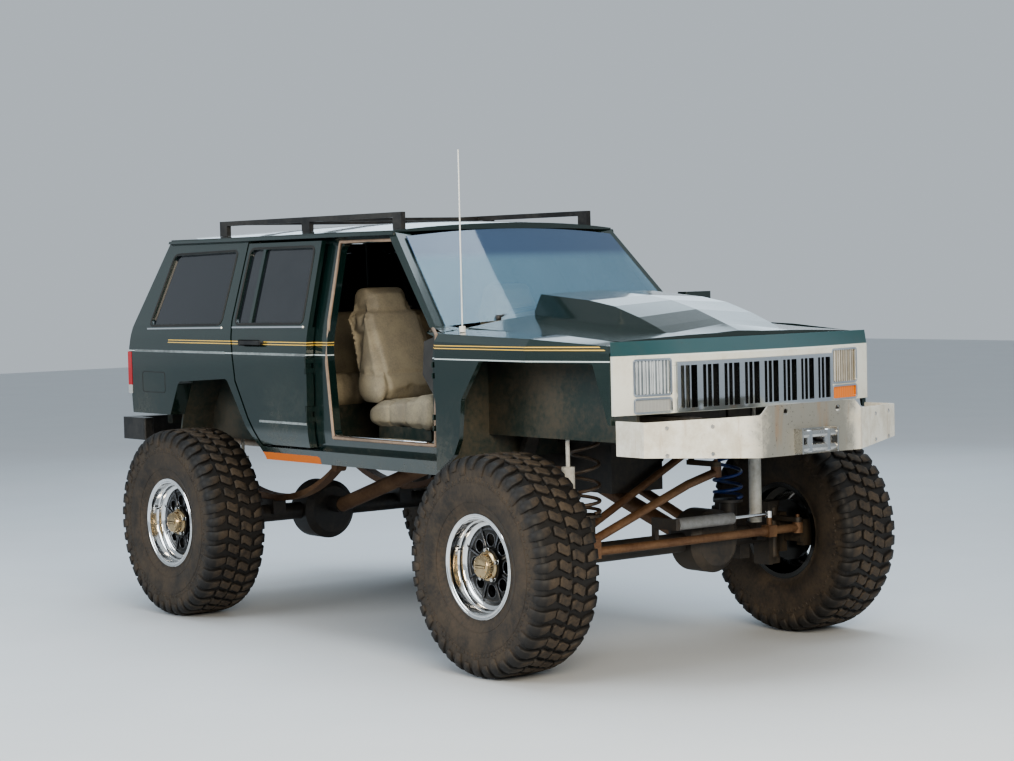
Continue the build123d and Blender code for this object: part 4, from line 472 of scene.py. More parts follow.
nodeFinish = {
    "greenStriped": ["body_sides", "door_front_left", "door_rear_left", "door_rear_right", "fenders"],
    "greenPlain": ["roof_panel", "liftgate", "hood"],
    "innerPaint": ["floor_pan", "cowl_panel", "inner_fenders", "wheelhouse_left", "wheelhouse_right"],
    "tintedGlass": ["door_front_glass_left", "door_rear_glass_left", "door_rear_glass_right", "liftgate_glass"],
    "windscreenGlass": ["fixed_glass"],
    "frameBlack": ["frame_rails", "steering_gear", "fuel_tank"],
    "axleIron": ["front_axle", "rear_axle"],
    "knuckleIron": ["knuckle_left", "knuckle_right", "pitman_arm"],
    "rustyLink": ["tie_rod", "drag_link", "suspension_arms", "driveshafts", "leaf_springs"],
    "coilBlue": ["coil_springs"],
    "shockWhite": ["shock_absorbers"],
    "damperGrey": ["damper_body"],
    "chromeRod": ["damper_rod"],
    "engineIron": ["engine"],
    "radiatorFins": ["radiator"],
    "exhaustSteel": ["exhaust"],
    "bumperCream": ["front_bumper"],
    "boltBright": ["fairlead"],
    "blackPaint": ["rear_bumper", "roof_rack"],
    "antennaWhite": ["antenna"],
    "chromeTrim": ["grille"],
    "lampGlass": ["lamps"],
    "dashPlastic": ["dashboard"],
    "seatCloth": ["seats"],
    "headerPaintAndGlare": ["header_panel"],
    "wheelAlloy": [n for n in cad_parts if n.startswith("rim_")],
    "tyreRubber": [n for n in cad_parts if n.startswith("tyre_")],
}


def dressNodes():
    for finish, nodes in nodeFinish.items():
        for node in nodes:
            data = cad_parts[node].data
            data.materials.clear()
            data.materials.append(finishes[finish])


dressNodes()


# Meshes


def at(x, y, z):
    # a place given in millimetres from the middle of the wheelbase
    return Vector((x / 1000 + wheelbaseMid, y / 1000, z / 1000))


def circle(middle, side, other, radius, count):
    # points round a middle, from side towards other
    turns = [2 * math.pi * k / count for k in range(count)]
    return [middle + (side * math.cos(a) + other * math.sin(a)) * radius for a in turns]


def directions(path, closed):
    # each point of a path with its number and direction
    n = len(path)
    for i, p in enumerate(path):
        ahead = path[(i + 1) % n] if closed or i < n - 1 else p
        behind = path[i - 1] if closed or i > 0 else p
        yield i, p, (ahead - behind).normalized()


class Shape:
    # gathers the points and faces of one mesh
    def __init__(self):
        self.points = []
        self.faces = []
        self.marks = []
        self.mark = 0

    def add(self, points, faces):
        base = len(self.points)
        self.points += [tuple(p) for p in points]
        self.faces += [tuple(base + i for i in face) for face in faces]
        self.marks += [self.mark] * len(faces)

    def grid(self, rows, around=False, along=False, caps=False):
        # rows of equal length; around closes each row, along joins the last row to the first
        n, m = len(rows), len(rows[0])
        faces = []
        for i in range(n if along else n - 1):
            for j in range(m if around else m - 1):
                k = (i + 1) % n
                faces.append((i * m + j, i * m + (j + 1) % m, k * m + (j + 1) % m, k * m + j))
        if caps:
            faces += [tuple(range(m))[::-1], tuple((n - 1) * m + j for j in range(m))]
        self.add([p for row in rows for p in row], faces)

    def box(self, low, high, edge=0.002, turn=None):
        # a block with chamfered edges; turn is a matrix for its corners
        (x0, y0, z0), (x1, y1, z1) = low, high
        b = min(edge, 0.45 * min(x1 - x0, y1 - y0, z1 - z0))
        rows = []
        for z, inset in ((z0, b), (z0 + b, 0), (z1 - b, 0), (z1, b)):
            xa, xb, ya, yb = x0 + inset, x1 - inset, y0 + inset, y1 - inset
            corners = ((xa + b, ya), (xb - b, ya), (xb, ya + b), (xb, yb - b), (xb - b, yb), (xa + b, yb))
            corners += ((xa, yb - b), (xa, ya + b))
            rows.append([Vector((x, y, z)) for x, y in corners])
        if turn:
            rows = [[turn @ p for p in row] for row in rows]
        self.grid(rows, around=True, caps=True)

    def turned(self, profile, origin, axis, segments=48, closed=False):
        # profile points are (distance along the axis, radius)
        axis = Vector(axis).normalized()
        side = axis.orthogonal().normalized()
        if abs(axis.y) > 0.9:
            side = Vector((1, 0, 0))
        other = axis.cross(side)
        rows = [circle(Vector(origin) + axis * out, side, other, radius, segments) for out, radius in profile]
        self.grid(rows, around=True, along=closed, caps=not closed)

    def rod(self, start, end, radius, segments=24, edge=0.001):
        length = (Vector(end) - Vector(start)).length
        e = min(edge, radius * 0.4, length * 0.3)
        profile = ((0, radius - e), (e, radius), (length - e, radius), (length, radius - e))
        self.turned(profile, start, Vector(end) - Vector(start), segments)

    def tube(self, path, radius, sides=10, closed=False):
        # a round bar along the path
        rows, side = [], None
        for i, p, axis in directions(path, closed):
            side = axis.orthogonal() if side is None else side - axis * side.dot(axis)
            side = side.normalized()
            rows.append(circle(p, side, axis.cross(side), radius, sides))
        self.grid(rows, around=True, along=closed, caps=not closed)

    def strip(self, path, section, up, closed=False):
        # a section of (across, up) points swept along a path, up being one vector or one for each point
        rows = []
        for i, p, axis in directions(path, closed):
            lift = up[i] if isinstance(up, list) else up
            lift = (lift - axis * lift.dot(axis)).normalized()
            across = axis.cross(lift)
            rows.append([p + across * a + lift * b for a, b in section])
        self.grid(rows, around=True, along=closed, caps=not closed)

    def make(self, name, body, used, replaces=(), place=None, sharp=38, soft=False):
        data = bpy.data.meshes.new(name)
        data.from_pydata(self.points, [], self.faces)
        for finish in used:
            data.materials.append(finishes[finish])
        data.polygons.foreach_set("material_index", self.marks)
        bm = bmesh.new()
        bm.from_mesh(data)
        bmesh.ops.recalc_face_normals(bm, faces=bm.faces)
        bm.to_mesh(data)
        bm.free()
        data.shade_smooth()
        if not soft:
            data.set_sharp_from_angle(angle=math.radians(sharp))
        obj = bpy.data.objects.new(name, data)
        scene.collection.objects.link(obj)
        if place:
            obj.matrix_world = place
        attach(obj, body)
        if replaces:
            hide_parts(*replaces)


def smoothPath(points, step):
    # a Catmull-Rom curve through the points, sampled about every step
    points = [Vector(p) for p in points]
    ends = [2 * points[0] - points[1]] + points + [2 * points[-1] - points[-2]]
    path = []
    for a, b, c, d in zip(ends, ends[1:], ends[2:], ends[3:]):
        count = max(1, round((c - b).length / step))
        for k in range(count):
            t = k / count
            path.append(0.5 * (2 * b + (c - a) * t + (2 * a - 5 * b + 4 * c - d) * t * t
                               + (3 * b - 3 * c + d - a) * t ** 3))
    return path + [points[-1]]


def roundCorners(points, radius, steps=5):
    # a closed 2D outline with its corners rounded
    path = []
    n = len(points)
    for i in range(n):
        a, b, c = (Vector((*points[(i + k) % n], 0)) for k in (-1, 0, 1))
        reach = min(radius, 0.45 * (a - b).length, 0.45 * (c - b).length)
        start = b + (a - b).normalized() * reach
        end = b + (c - b).normalized() * reach
        for k in range(steps + 1):
            t = k / steps
            p = start * (1 - t) ** 2 + b * 2 * t * (1 - t) + end * t * t
            path.append((p.x, p.y))
    return path


wheelSpots = {}
for end, ahead in (("front", 1), ("rear", -1)):
    for side, out, angle in (("left", 1, 0), ("right", -1, math.pi)):
        x, y = ahead * wheelPlace["axle"] + wheelbaseMid, out * wheelPlace["track"]
        spot = Matrix.Translation((x, y, wheelPlace["height"]))
        wheelSpots[f"{end}_{side}"] = spot @ Matrix.Rotation(angle, 4, "Z")


# Tyres: wheels are drawn round their own middle, Y outward

tyre = {
    "pitches": 42,
    "segments": 168,
    "radius": 0.470,
    "profile": (              # (distance out, radius)
        (0, 0.4555), (0.050, 0.4553), (0.100, 0.4537), (0.130, 0.4500), (0.143, 0.4425), (0.1500, 0.4300),
        (0.1530, 0.4150), (0.1545, 0.3950), (0.1556, 0.3700), (0.1563, 0.3450), (0.1555, 0.3150), (0.1505, 0.2850),
        (0.1415, 0.2580), (0.1325, 0.2410), (0.1310, 0.2290), (0.1302, 0.2250), (0.1237, 0.2240), (0.1237, 0.2105),
        (0.1000, 0.2100),
    ),
    "lift": ((0, 0.0145), (0.120, 0.0145), (0.150, 0.0120), (0.172, 0.0085), (0.205, 0.0045)),
    "chamfer": 0.0022,
    "longLug": (              # (way along the profile, rear edge, front edge)
        (0.072, -0.002, 0.028), (0.094, -0.014, 0.027), (0.120, -0.021, 0.023), (0.140, -0.0225, 0.0225),
        (0.158, -0.0230, 0.0230), (0.180, -0.0220, 0.0220), (0.203, -0.0180, 0.0180),
    ),
    "shortLug": (
        (0.082, 0.004, 0.030), (0.100, -0.010, 0.029), (0.124, -0.020, 0.023), (0.142, -0.0215, 0.0215),
        (0.158, -0.0200, 0.0200), (0.180, -0.0150, 0.0150),
    ),
    "middleBlock": (
        (0.005, -0.024, 0.014), (0.022, -0.031, 0.010), (0.040, -0.022, 0.022), (0.056, -0.013, 0.031),
        (0.066, -0.010, 0.022),
    ),
    "sunk": -0.003,           # how far a lug's foot lies inside the carcass
    "draft": 0.0015,
    "dashWays": ((0.5, 0.008), (0.0, 0.0045)),    # (share of the pitch, half length)
    "dashRows": (0.212, 0.219, 0.226),
    "dashShare": 0.55,
    "beads": (0.232, 0.318),
    "beadSection": ((-0.0016, -0.001), (-0.0008, 0.0012), (0.0008, 0.0012), (0.0016, -0.001)),
}


def tyreMesh(t):
    path = smoothPath([(w, r, 0) for w, r in t["profile"]], 0.006)
    w = np.array([p.x for p in path])
    r = np.array([p.y for p in path])
    along = np.concatenate(([0], np.cumsum(np.hypot(np.diff(w), np.diff(r)))))
    dw, dr = np.gradient(w, along), np.gradient(r, along)
    liftAt, liftBy = zip(*t["lift"])

    def surface(s, d, h, hand):
        # the point s round the tread, d along the profile and h above it
        nw, nr = -np.interp(d, along, dr), np.interp(d, along, dw)
        out = np.interp(d, along, w) + nw * h
        radius = np.interp(d, along, r) + nr * h
        a = s / t["radius"]
        return (radius * math.sin(a), hand * out, radius * math.cos(a))

    shape = Shape()
    rows = []
    for hand, order in ((-1, range(len(w) - 1, 0, -1)), (1, range(len(w)))):
        for i in order:
            row = []
            for k in range(t["segments"]):
                a = 2 * math.pi * k / t["segments"]
                row.append((r[i] * math.sin(a), hand * w[i], r[i] * math.cos(a)))
            rows.append(row)
    shape.grid(rows, around=True)

    def lug(stations, s0, hand, share=1.0):
        # level 0 is a row at the foot, 1 one at the chamfer and 2 one over the top
        c, foot, draft = t["chamfer"], t["sunk"], t["draft"]
        (first, *firstEdges), (last, *lastEdges) = stations[0], stations[-1]
        rows = [(first, *firstEdges, 0), (first, *firstEdges, 1), (first + c, *firstEdges, 2)]
        rows += [(*s, 2) for s in stations[1:-1]]
        rows += [(last - c, *lastEdges, 2), (last, *lastEdges, 1), (last, *lastEdges, 0)]
        grid = []
        for d, low, high, level in rows:
            h = np.interp(d, liftAt, liftBy) * share
            top = h if level == 2 else h - c
            heights = (foot, h - c, top, top, h - c, foot) if level else (foot,) * 6
            ways = (low - draft, low, low + c, high - c, high, high + draft)
            grid.append([surface(s0 + hand * s, d, x, hand) for s, x in zip(ways, heights)])
        shape.grid(grid)

    pitch = 2 * math.pi * t["radius"] / t["pitches"]
    for k in range(t["pitches"]):
        for hand, shift in ((1, 0), (-1, 0.5)):
            s0 = (k + shift) * pitch
            lug(t["longLug"] if k % 2 else t["shortLug"], s0, hand)
            lug(t["middleBlock"], s0, hand)
            for way, reach in t["dashWays"]:
                dash = [(d, -reach, reach) for d in t["dashRows"]]
                lug(dash, s0 + way * pitch, hand, t["dashShare"])
    for d in t["beads"]:
        shape.strip(*beadRing(surface, d, t), closed=True)
    return shape


def beadRing(surface, d, t):
    # a fine raised ring round the outer sidewall
    around = [2 * math.pi * t["radius"] * k / t["segments"] for k in range(t["segments"])]
    path = [Vector(surface(s, d, 0, 1)) for s in around]
    up = [Vector(surface(s, d, 0.01, 1)) - p for s, p in zip(around, path)]
    return path, t["beadSection"], up


def makeTyres():
    shape = tyreMesh(tyre)
    for name, place in wheelSpots.items():
        shape.make(f"tyre_{name}_tread", f"wheel_{name}", ["tyreRubber"], (f"tyre_{name}",), place, sharp=50)
    print("tyres", len(shape.faces), "faces each")


# Wheels: the CAD rim keeps its shape and gets a polished lip, nuts and a locking hub

wheel = {
    "lip": (                  # (distance out, radius), closed section
        (0.1303, 0.2240), (0.1330, 0.2238), (0.1345, 0.2218), (0.1341, 0.2188), (0.1320, 0.2168), (0.1308, 0.2140),
        (0.1308, 0.2085), (0.1322, 0.2068), (0.1322, 0.2040), (0.1302, 0.2012), (0.1230, 0.1998), (0.0905, 0.1982),
        (0.0880, 0.1962), (0.0850, 0.1915), (0.0720, 0.1885), (0.0660, 0.1850), (0.0620, 0.1768), (0.0604, 0.1700),
        (0.0602, 0.1700), (0.0602, 0.1775), (0.0650, 0.1865), (0.0760, 0.2010), (0.1285, 0.2012),
    ),
    "hub": (
        (0.0785, 0.0640), (0.0830, 0.0630), (0.0850, 0.0560), (0.0870, 0.0525), (0.0900, 0.0515), (0.0930, 0.0505),
        (0.1080, 0.0500), (0.1100, 0.0485), (0.1170, 0.0480), (0.1200, 0.0460), (0.1215, 0.0400), (0.1222, 0.0250),
        (0.1224, 0.0010),
    ),
    "holes": {"count": 8, "circle": 0.108, "out": 0.0606, "radius": 0.0285, "lip": 0.0028, "points": 36},
    "rib": ((0.082, 0.0602, -0.0055), (0.168, 0.0655, 0.0055)),
    "step": ((0.0602, 0.160), (0.0625, 0.158), (0.0625, 0.151), (0.0602, 0.149)),
    "ridges": 30,
    "ridge": ((0.0490, 0.0935, -0.0019), (0.0520, 0.1075, 0.0019)),
    "dial": ((-0.034, 0.1215, -0.0060), (0.034, 0.1262, 0.0060)),
    "capBolts": {"count": 6, "first": 0.5, "circle": 0.0405, "out": 0.1195},
    "capBolt": ((0, 0.0042), (0.0030, 0.0042), (0.0036, 0.0034)),
    "nuts": {"count": 5, "first": 0.25, "circle": 0.067, "out": 0.0775},
    "nut": ((0, 0.0112), (0.002, 0.0112), (0.003, 0.0098), (0.016, 0.0098), (0.019, 0.0070)),
    "stem": ((0.181, 0.078, 0.060), (0.171, 0.108, 0.056), 0.0036),
    "finishes": ["polishedLip", "wheelDark", "hubMetalGoldReflection", "boltBright", "rubberTrim"],
}


def onCircle(ring):
    # places evenly round the wheel's middle
    for k in range(ring["count"]):
        a = 2 * math.pi * (k + ring.get("first", 0)) / ring["count"]
        yield a, Vector((ring["circle"] * math.cos(a), ring["out"], ring["circle"] * math.sin(a)))


def makeWheels(w):
    middle, outward = (0, 0, 0), (0, 1, 0)
    shape = Shape()
    shape.turned(w["lip"], middle, outward, 128, closed=True)
    shape.mark = 1
    holes = w["holes"]
    for a, spot in onCircle(holes):
        ring = circle(spot, Vector((1, 0, 0)), Vector((0, 0, 1)), holes["radius"], holes["points"])
        shape.tube(ring, holes["lip"], 8, closed=True)
        between = a + math.pi / holes["count"]
        shape.box(*w["rib"], 0.002, Matrix.Rotation(-between, 4, "Y"))
    shape.turned(w["step"], middle, outward, 96, closed=True)
    shape.mark = 2
    shape.turned(w["hub"], middle, outward, 64)
    for k in range(w["ridges"]):
        shape.box(*w["ridge"], 0.0008, Matrix.Rotation(2 * math.pi * k / w["ridges"], 4, "Y"))
    shape.box(*w["dial"], 0.002)
    for a, spot in onCircle(w["capBolts"]):
        shape.turned(w["capBolt"], spot, outward, 6)
    shape.mark = 3
    for a, spot in onCircle(w["nuts"]):
        shape.turned(w["nut"], spot, outward, 6)
    shape.mark = 4
    shape.rod(*w["stem"], 10)
    for name, place in wheelSpots.items():
        shape.make(f"rim_{name}_trim", f"wheel_{name}", w["finishes"], (), place)
    print("wheels", len(shape.faces), "faces each")


# Coil springs

coils = {
    "x": 1288,
    "y": 420,
    "low": 642,
    "high": 1108,
    "radius": 0.062,
    "wire": 0.0078,
    "turns": 6.6,
    "closing": 0.07,          # how much closer the end turns lie
}


def makeCoils(c):
    for side, sign, finish in (("left", 1, "coilBlue"), ("right", -1, "coilDark")):
        low, high = at(c["x"], sign * c["y"], c["low"]), at(c["x"], sign * c["y"], c["high"])
        lift = (high - low).z - 2 * c["wire"]
        steps = round(c["turns"] * 28)
        path = []
        for k in range(steps + 1):
            t = k / steps
            climb = (t - c["closing"] * math.sin(2 * math.pi * t)) * lift + c["wire"]
            a = 2 * math.pi * c["turns"] * t
            path.append(low + Vector((c["radius"] * math.cos(a), c["radius"] * math.sin(a), climb)))
        shape = Shape()
        shape.tube(path, c["wire"], 10)
        shape.make(f"coil_{side}", "root", [finish], ("coil_springs",), soft=True)
    print("coils")


# Seats: one crowned pad for each cushion and back, blown up as cloth

seat = {
    "voxel": (0.0105, 0.0150),
    "pressure": 4.0,
    "frames": 20,
    "cap": 0.022,
    "shrink": 0.955,
    "frontMiddle": 388,
    "frontHalf": {"cushion": 226, "back": 218},
    "rearHalf": 545,
    "frontCushion": (
        (-150, 990), (-150, 1060), (-60, 1085), (150, 1100), (330, 1125), (430, 1130), (448, 1090), (440, 992),
    ),
    "frontBack": (
        (-160, 1065), (-352, 1560), (-345, 1664), (-240, 1674), (-208, 1570), (15, 1092), (-20, 1062),
    ),
    "narrowing": ((1062, 1.0), (1440, 1.0), (1520, 0.80), (1580, 0.60), (1640, 0.55), (1680, 0.50)),
    "rearCushion": (
        (-905, 1062), (-905, 1150), (-850, 1175), (-700, 1190), (-540, 1196), (-478, 1185), (-476, 1066),
    ),
    "rearBack": ((-985, 1145), (-1073, 1538), (-983, 1542), (-852, 1165), (-870, 1145)),
    # seams are (axis, place in millimetres, half width, depth)
    "frontSeams": (
        (0, 60, 0.011, 0.010), (0, 190, 0.011, 0.010), (1, 148, 0.012, 0.013), (1, -148, 0.012, 0.013),
    ),
    "backSeams": (
        (2, 1230, 0.011, 0.009), (2, 1530, 0.013, 0.013), (1, 150, 0.012, 0.012), (1, -150, 0.012, 0.012),
    ),
    "rearSeams": ((1, 20, 0.014, 0.014), (1, -380, 0.012, 0.010), (1, 380, 0.012, 0.010)),
    "ends": ((0, 0.84), (0.02, 0.93), (0.06, 1), (0.94, 1), (0.98, 0.93), (1, 0.84)),    # (share across, size)
    "corner": 0.045,
    "stiffness": 12,
    "bending": 0.6,
}


def padMesh(outline, yLow, yHigh, shrink, voxel, narrowing):
    # a prism with softened ends, remeshed to even faces; narrowing gives its share of width at each height
    ring = roundCorners([(x / 1000, z / 1000) for x, z in outline], seat["corner"])
    middle = (sum(p[0] for p in ring) / len(ring), sum(p[1] for p in ring) / len(ring))
    rows = []
    for share, size in seat["ends"]:
        yMiddle, reach = (yLow + yHigh) / 2000, (yHigh - yLow) * (share - 0.5) / 1000
        rows.append([])
        for x, z in ring:
            px = middle[0] + (x - middle[0]) * size * shrink
            pz = middle[1] + (z - middle[1]) * size * shrink
            width = np.interp(pz * 1000, *zip(*narrowing)) if narrowing else 1
            rows[-1].append((px + wheelbaseMid, yMiddle + reach * width, pz))
    shape = Shape()
    shape.grid(rows, around=True, caps=True)
    data = bpy.data.meshes.new("padBase")
    data.from_pydata(shape.points, [], shape.faces)
    obj = bpy.data.objects.new("padBase", data)
    scene.collection.objects.link(obj)
    remesh = obj.modifiers.new("even", "REMESH")
    remesh.mode = "VOXEL"
    remesh.voxel_size = voxel
    bpy.context.view_layer.update()
    even = bpy.data.meshes.new_from_object(obj.evaluated_get(bpy.context.evaluated_depsgraph_get()))
    bpy.data.objects.remove(obj)
    return even


def blowUp(pads):
    # every pad swells at once under inner pressure, then keeps its capped shape
    starts = []
    for obj in pads:
        starts.append(meshPoints(obj.data))
        cloth = obj.modifiers.new("swell", "CLOTH")
        cloth.settings.quality = 4
        cloth.settings.use_pressure = True
        cloth.settings.uniform_pressure_force = seat["pressure"]
        cloth.settings.effector_weights.gravity = 0
        cloth.settings.tension_stiffness = seat["stiffness"]
        cloth.settings.compression_stiffness = seat["stiffness"]
        cloth.settings.bending_stiffness = seat["bending"]
        cloth.point_cache.frame_end = seat["frames"]
    for number in range(1, seat["frames"] + 1):
        scene.frame_set(number)
    depsgraph = bpy.context.evaluated_depsgraph_get()
    ends = [meshPoints(obj.evaluated_get(depsgraph).data) for obj in pads]
    for obj, start, end in zip(pads, starts, ends):
        obj.modifiers.clear()
        move = end - start
        size = np.maximum(np.linalg.norm(move, axis=1, keepdims=True), 1e-9)
        keepPoints(obj.data, start + move * np.minimum(1, seat["cap"] / size))
    scene.frame_set(1)


def meshPoints(data):
    points = np.empty(len(data.vertices) * 3)
    data.vertices.foreach_get("co", points)
    return points.reshape(-1, 3)


def keepPoints(data, points):
    data.vertices.foreach_set("co", points.ravel())
    data.update()


def meshNormals(data):
    normals = np.empty(len(data.vertices) * 3)
    data.vertices.foreach_get("normal", normals)
    return normals.reshape(-1, 3)


def sewSeams(data, seams, yMiddle):
    # pulls the cloth in along each seam
    points, normals = meshPoints(data), meshNormals(data)
    offset = (wheelbaseMid, yMiddle / 1000, 0)
    depth = np.zeros(len(points))
    for axis, place, half, deep in seams:
        away = points[:, axis] - offset[axis] - place / 1000
        facing = 1 - np.abs(normals[:, axis]) ** 2
        depth = np.maximum(depth, deep * np.exp(-(away / half) ** 2) * facing)
    keepPoints(data, points - normals * depth[:, None])


def makeSeats(s):
    pads = []         # (name, outline, middle, half width, voxel, seams, narrowing)
    fine, coarse = s["voxel"]
    for side, sign in (("left", 1), ("right", -1)):
        for part, outline, seams, narrowing in (
            ("cushion", s["frontCushion"], s["frontSeams"], None),
            ("back", s["frontBack"], s["backSeams"], s["narrowing"]),
        ):
            name, middle, half = f"seat_{part}_{side}", sign * s["frontMiddle"], s["frontHalf"][part]
            pads.append((name, outline, middle, half, fine, seams, narrowing))
    for part, outline in (("cushion", s["rearCushion"]), ("back", s["rearBack"])):
        pads.append((f"rear_seat_{part}", outline, 0, s["rearHalf"], coarse, s["rearSeams"], None))
    made = []
    for name, outline, middle, half, voxel, seams, narrowing in pads:
        data = padMesh(outline, middle - half, middle + half, s["shrink"], voxel, narrowing)
        data.name = name
        data.materials.append(finishes["seatCloth"])
        obj = bpy.data.objects.new(name, data)
        scene.collection.objects.link(obj)
        made.append(obj)
    blowUp(made)
    for obj, (name, outline, middle, half, voxel, seams, narrowing) in zip(made, pads):
        sewSeams(obj.data, seams, middle)
        obj.data.shade_smooth()
        smooth = obj.modifiers.new("smooth", "SUBSURF")
        smooth.levels = smooth.render_levels = 1
        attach(obj, "root")
        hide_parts("seats")
    print("seats", sum(len(o.data.polygons) for o in made), "faces")


# Trim that lies on the painted skin, dropped onto it from outside

skins = {}
widestSkin = 0.868            # what lies further out is the mirror


def onSkin(node, x, z, side, lift=0.0):
    # the skin's point at x and z in millimetres, seen from one side of the car
    if node not in skins:
        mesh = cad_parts[node].data
        skins[node] = BVHTree.FromPolygons([v.co for v in mesh.vertices], [p.vertices for p in mesh.polygons])
    inward = Vector((0, -side, 0))
    hit = skins[node].ray_cast(at(x, side * 2000, z), inward)[0]
    while hit and abs(hit.y) > widestSkin:
        hit = skins[node].ray_cast(hit + inward * 0.001, inward)[0]
    return hit - inward * lift if hit else None


def skinStrip(shape, node, points, side, section, closed=False, step=0.03):
    # a moulding along points (x, z), its section being (across, out) in metres
    flat = [Vector((x / 1000, 0, z / 1000)) for x, z in points]
    if closed:
        flat.append(flat[0])
    dense = []
    for a, b in zip(flat, flat[1:]):
        count = max(1, round((b - a).length / step))
        dense += [a + (b - a) * k / count for k in range(count)]
    if not closed:
        dense.append(flat[-1])
    path = []
    for p in dense:
        hit = onSkin(node, p.x * 1000, p.z * 1000, side)
        if hit:
            path.append(hit)
    if len(path) > 1:
        shape.strip(path, section, Vector((0, side, 0)), closed)


mouldings = (
    # (node, body, side, x from, x to)
    ("door_rear_right", "door_rear_right", -1, -932, -222),
    ("door_rear_left", "door_rear_left", 1, -932, -222),
    ("door_front_left", "door_front_left", 1, -196, 798),
    ("body_sides", "root", -1, -1860, -950),
    ("body_sides", "root", 1, -1860, -950),
)
mouldingPlace = {"belt": 1326, "low": 1000, "lowFrom": -640}
# sections are (across, out) in metres
sections = {
    "moulding": ((-0.0065, -0.001), (-0.0050, 0.0026), (0.0050, 0.0026), (0.0065, -0.001)),
    "gasket": ((-0.0060, -0.002), (-0.0045, 0.0030), (0.0045, 0.0030), (0.0060, -0.002)),
    "sill": ((-0.0055, -0.002), (-0.004, 0.0048), (0.004, 0.0048), (0.0055, -0.002)),
    "groove": ((-0.0022, -0.001), (-0.0015, 0.0012), (0.0015, 0.0012), (0.0022, -0.001)),
    "bezel": ((-0.004, -0.003), (-0.004, 0.004), (0.004, 0.004), (0.004, -0.003)),
}


def makeMouldings(place):
    for number, (node, body, side, low, high) in enumerate(mouldings):
        shape = Shape()
        skinStrip(shape, node, [(low, place["belt"]), (high, place["belt"])], side, sections["moulding"])
        if node != "body_sides":
            ends = [(max(low, place["lowFrom"]), place["low"]), (high, place["low"])]
            skinStrip(shape, node, ends, side, sections["moulding"])
        shape.make(f"moulding_{number}", body, ["trimGrey"], sharp=30)
    print("mouldings")


windows = (
    # (name, node, body, side, outline of the opening)
    ("rear_right", "door_rear_right", "door_rear_right", -1, "rear"),
    ("rear_left", "door_rear_left", "door_rear_left", 1, "rear"),
    ("front_left", "door_front_left", "door_front_left", 1, "front"),
    ("quarter_right", "body_sides", "root", -1, "quarter"),
    ("quarter_left", "body_sides", "root", 1, "quarter"),
)
windowOutlines = {
    "rear": ((-300, 1480), (-384, 1832), (-950, 1832), (-896, 1474)),
    "front": ((517, 1486), (179, 1832), (-276, 1832), (-192, 1482)),
    "quarter": ((-1740, 1462), (-1692, 1815), (-1083, 1825), (-1042, 1472)),
}


def grownOutline(outline, reach, radius):
    # the outline pushed out by reach, with round corners
    middle = (sum(p[0] for p in outline) / len(outline), sum(p[1] for p in outline) / len(outline))
    grown = []
    for x, z in outline:
        dx, dz = x - middle[0], z - middle[1]
        grown.append((x + math.copysign(reach, dx), z + math.copysign(reach, dz)))
    return roundCorners(grown, radius)


windowTrim = {"reach": 7, "corner": 34, "sillDrop": 22, "sillReach": 20, "sillBelow": 1600}


def makeWindowTrim(t):
    for name, node, body, side, kind in windows:
        outline = windowOutlines[kind]
        shape = Shape()
        gasket = grownOutline(outline, t["reach"], t["corner"])
        skinStrip(shape, node, gasket, side, sections["gasket"], closed=True)
        shape.mark = 1
        (rearX, rearZ), (frontX, frontZ) = sorted(p for p in outline if p[1] < t["sillBelow"])
        sill = [(rearX - t["sillReach"], rearZ - t["sillDrop"]), (frontX + t["sillReach"], frontZ - t["sillDrop"])]
        skinStrip(shape, node, sill, side, sections["sill"])
        shape.make(f"window_trim_{name}", body, ["rubberTrim", "chromeTrim"], sharp=30)
    print("window trim")


# The doorway's thick weatherstrip and bright sill

doorway = {
    "outline": (
        (735, 950), (735, 1418), (570, 1458), (190, 1847), (-222, 1847), (-128, 1480), (-95, 1300), (-55, 950),
    ),
    "reach": 9,
    "corner": 40,
    "radius": 0.0085,
    "lift": 0.002,
    "sill": ((-20, -838, 951), (700, -800, 957)),
}


def makeDoorway(d):
    shape = Shape()
    outline = roundCorners(grownOutline(d["outline"], d["reach"], 1), d["corner"])
    hits = [onSkin("body_sides", x, z, -1, d["lift"]) for x, z in outline]
    shape.tube([hit for hit in hits if hit], d["radius"], 10, closed=True)
    shape.mark = 1
    shape.box(*(at(*p) for p in d["sill"]), 0.002)
    shape.make("doorway_seal", "root", ["weatherTan", "chromeTrim"], soft=True)
    print("doorway")


# Handles, lamps, rollers and other fittings

handle = {
    "height": 1380,
    "feet": 0.092,
    "half": 0.100,
    "halfHeight": 0.014,
    "out": (0.013, 0.025),
    "radius": 0.009,
}
handles = (("rear_right", -1, -700), ("rear_left", 1, -700), ("front_left", 1, 0))    # (door, side, x)
flap = {"outline": ((-1785, 1112), (-1553, 1112), (-1553, 1217), (-1785, 1217)), "corner": 18}


def makeFittings(h, f):
    for door, sign, x in handles:
        shape = Shape()
        spot = onSkin(f"door_{door}", x, h["height"], sign)
        for dx in (-h["feet"], h["feet"]):
            foot = Vector((spot.x + dx, spot.y - sign * 0.002, spot.z))
            shape.rod(foot, foot + Vector((0, sign * 0.020, 0)), h["radius"], 16, 0.002)
        low, high = sorted(spot.y + sign * out for out in h["out"])
        corner = (spot.x - h["half"], low, spot.z - h["halfHeight"])
        shape.box(corner, (spot.x + h["half"], high, spot.z + h["halfHeight"]), 0.005)
        shape.make(f"handle_{door}", f"door_{door}", ["blackPaint"])
    edge = Shape()
    skinStrip(edge, "body_sides", roundCorners(f["outline"], f["corner"]), -1, sections["groove"], closed=True)
    edge.make("fuel_flap_edge", "root", ["rubberTrim"], sharp=30)
    print("fittings")


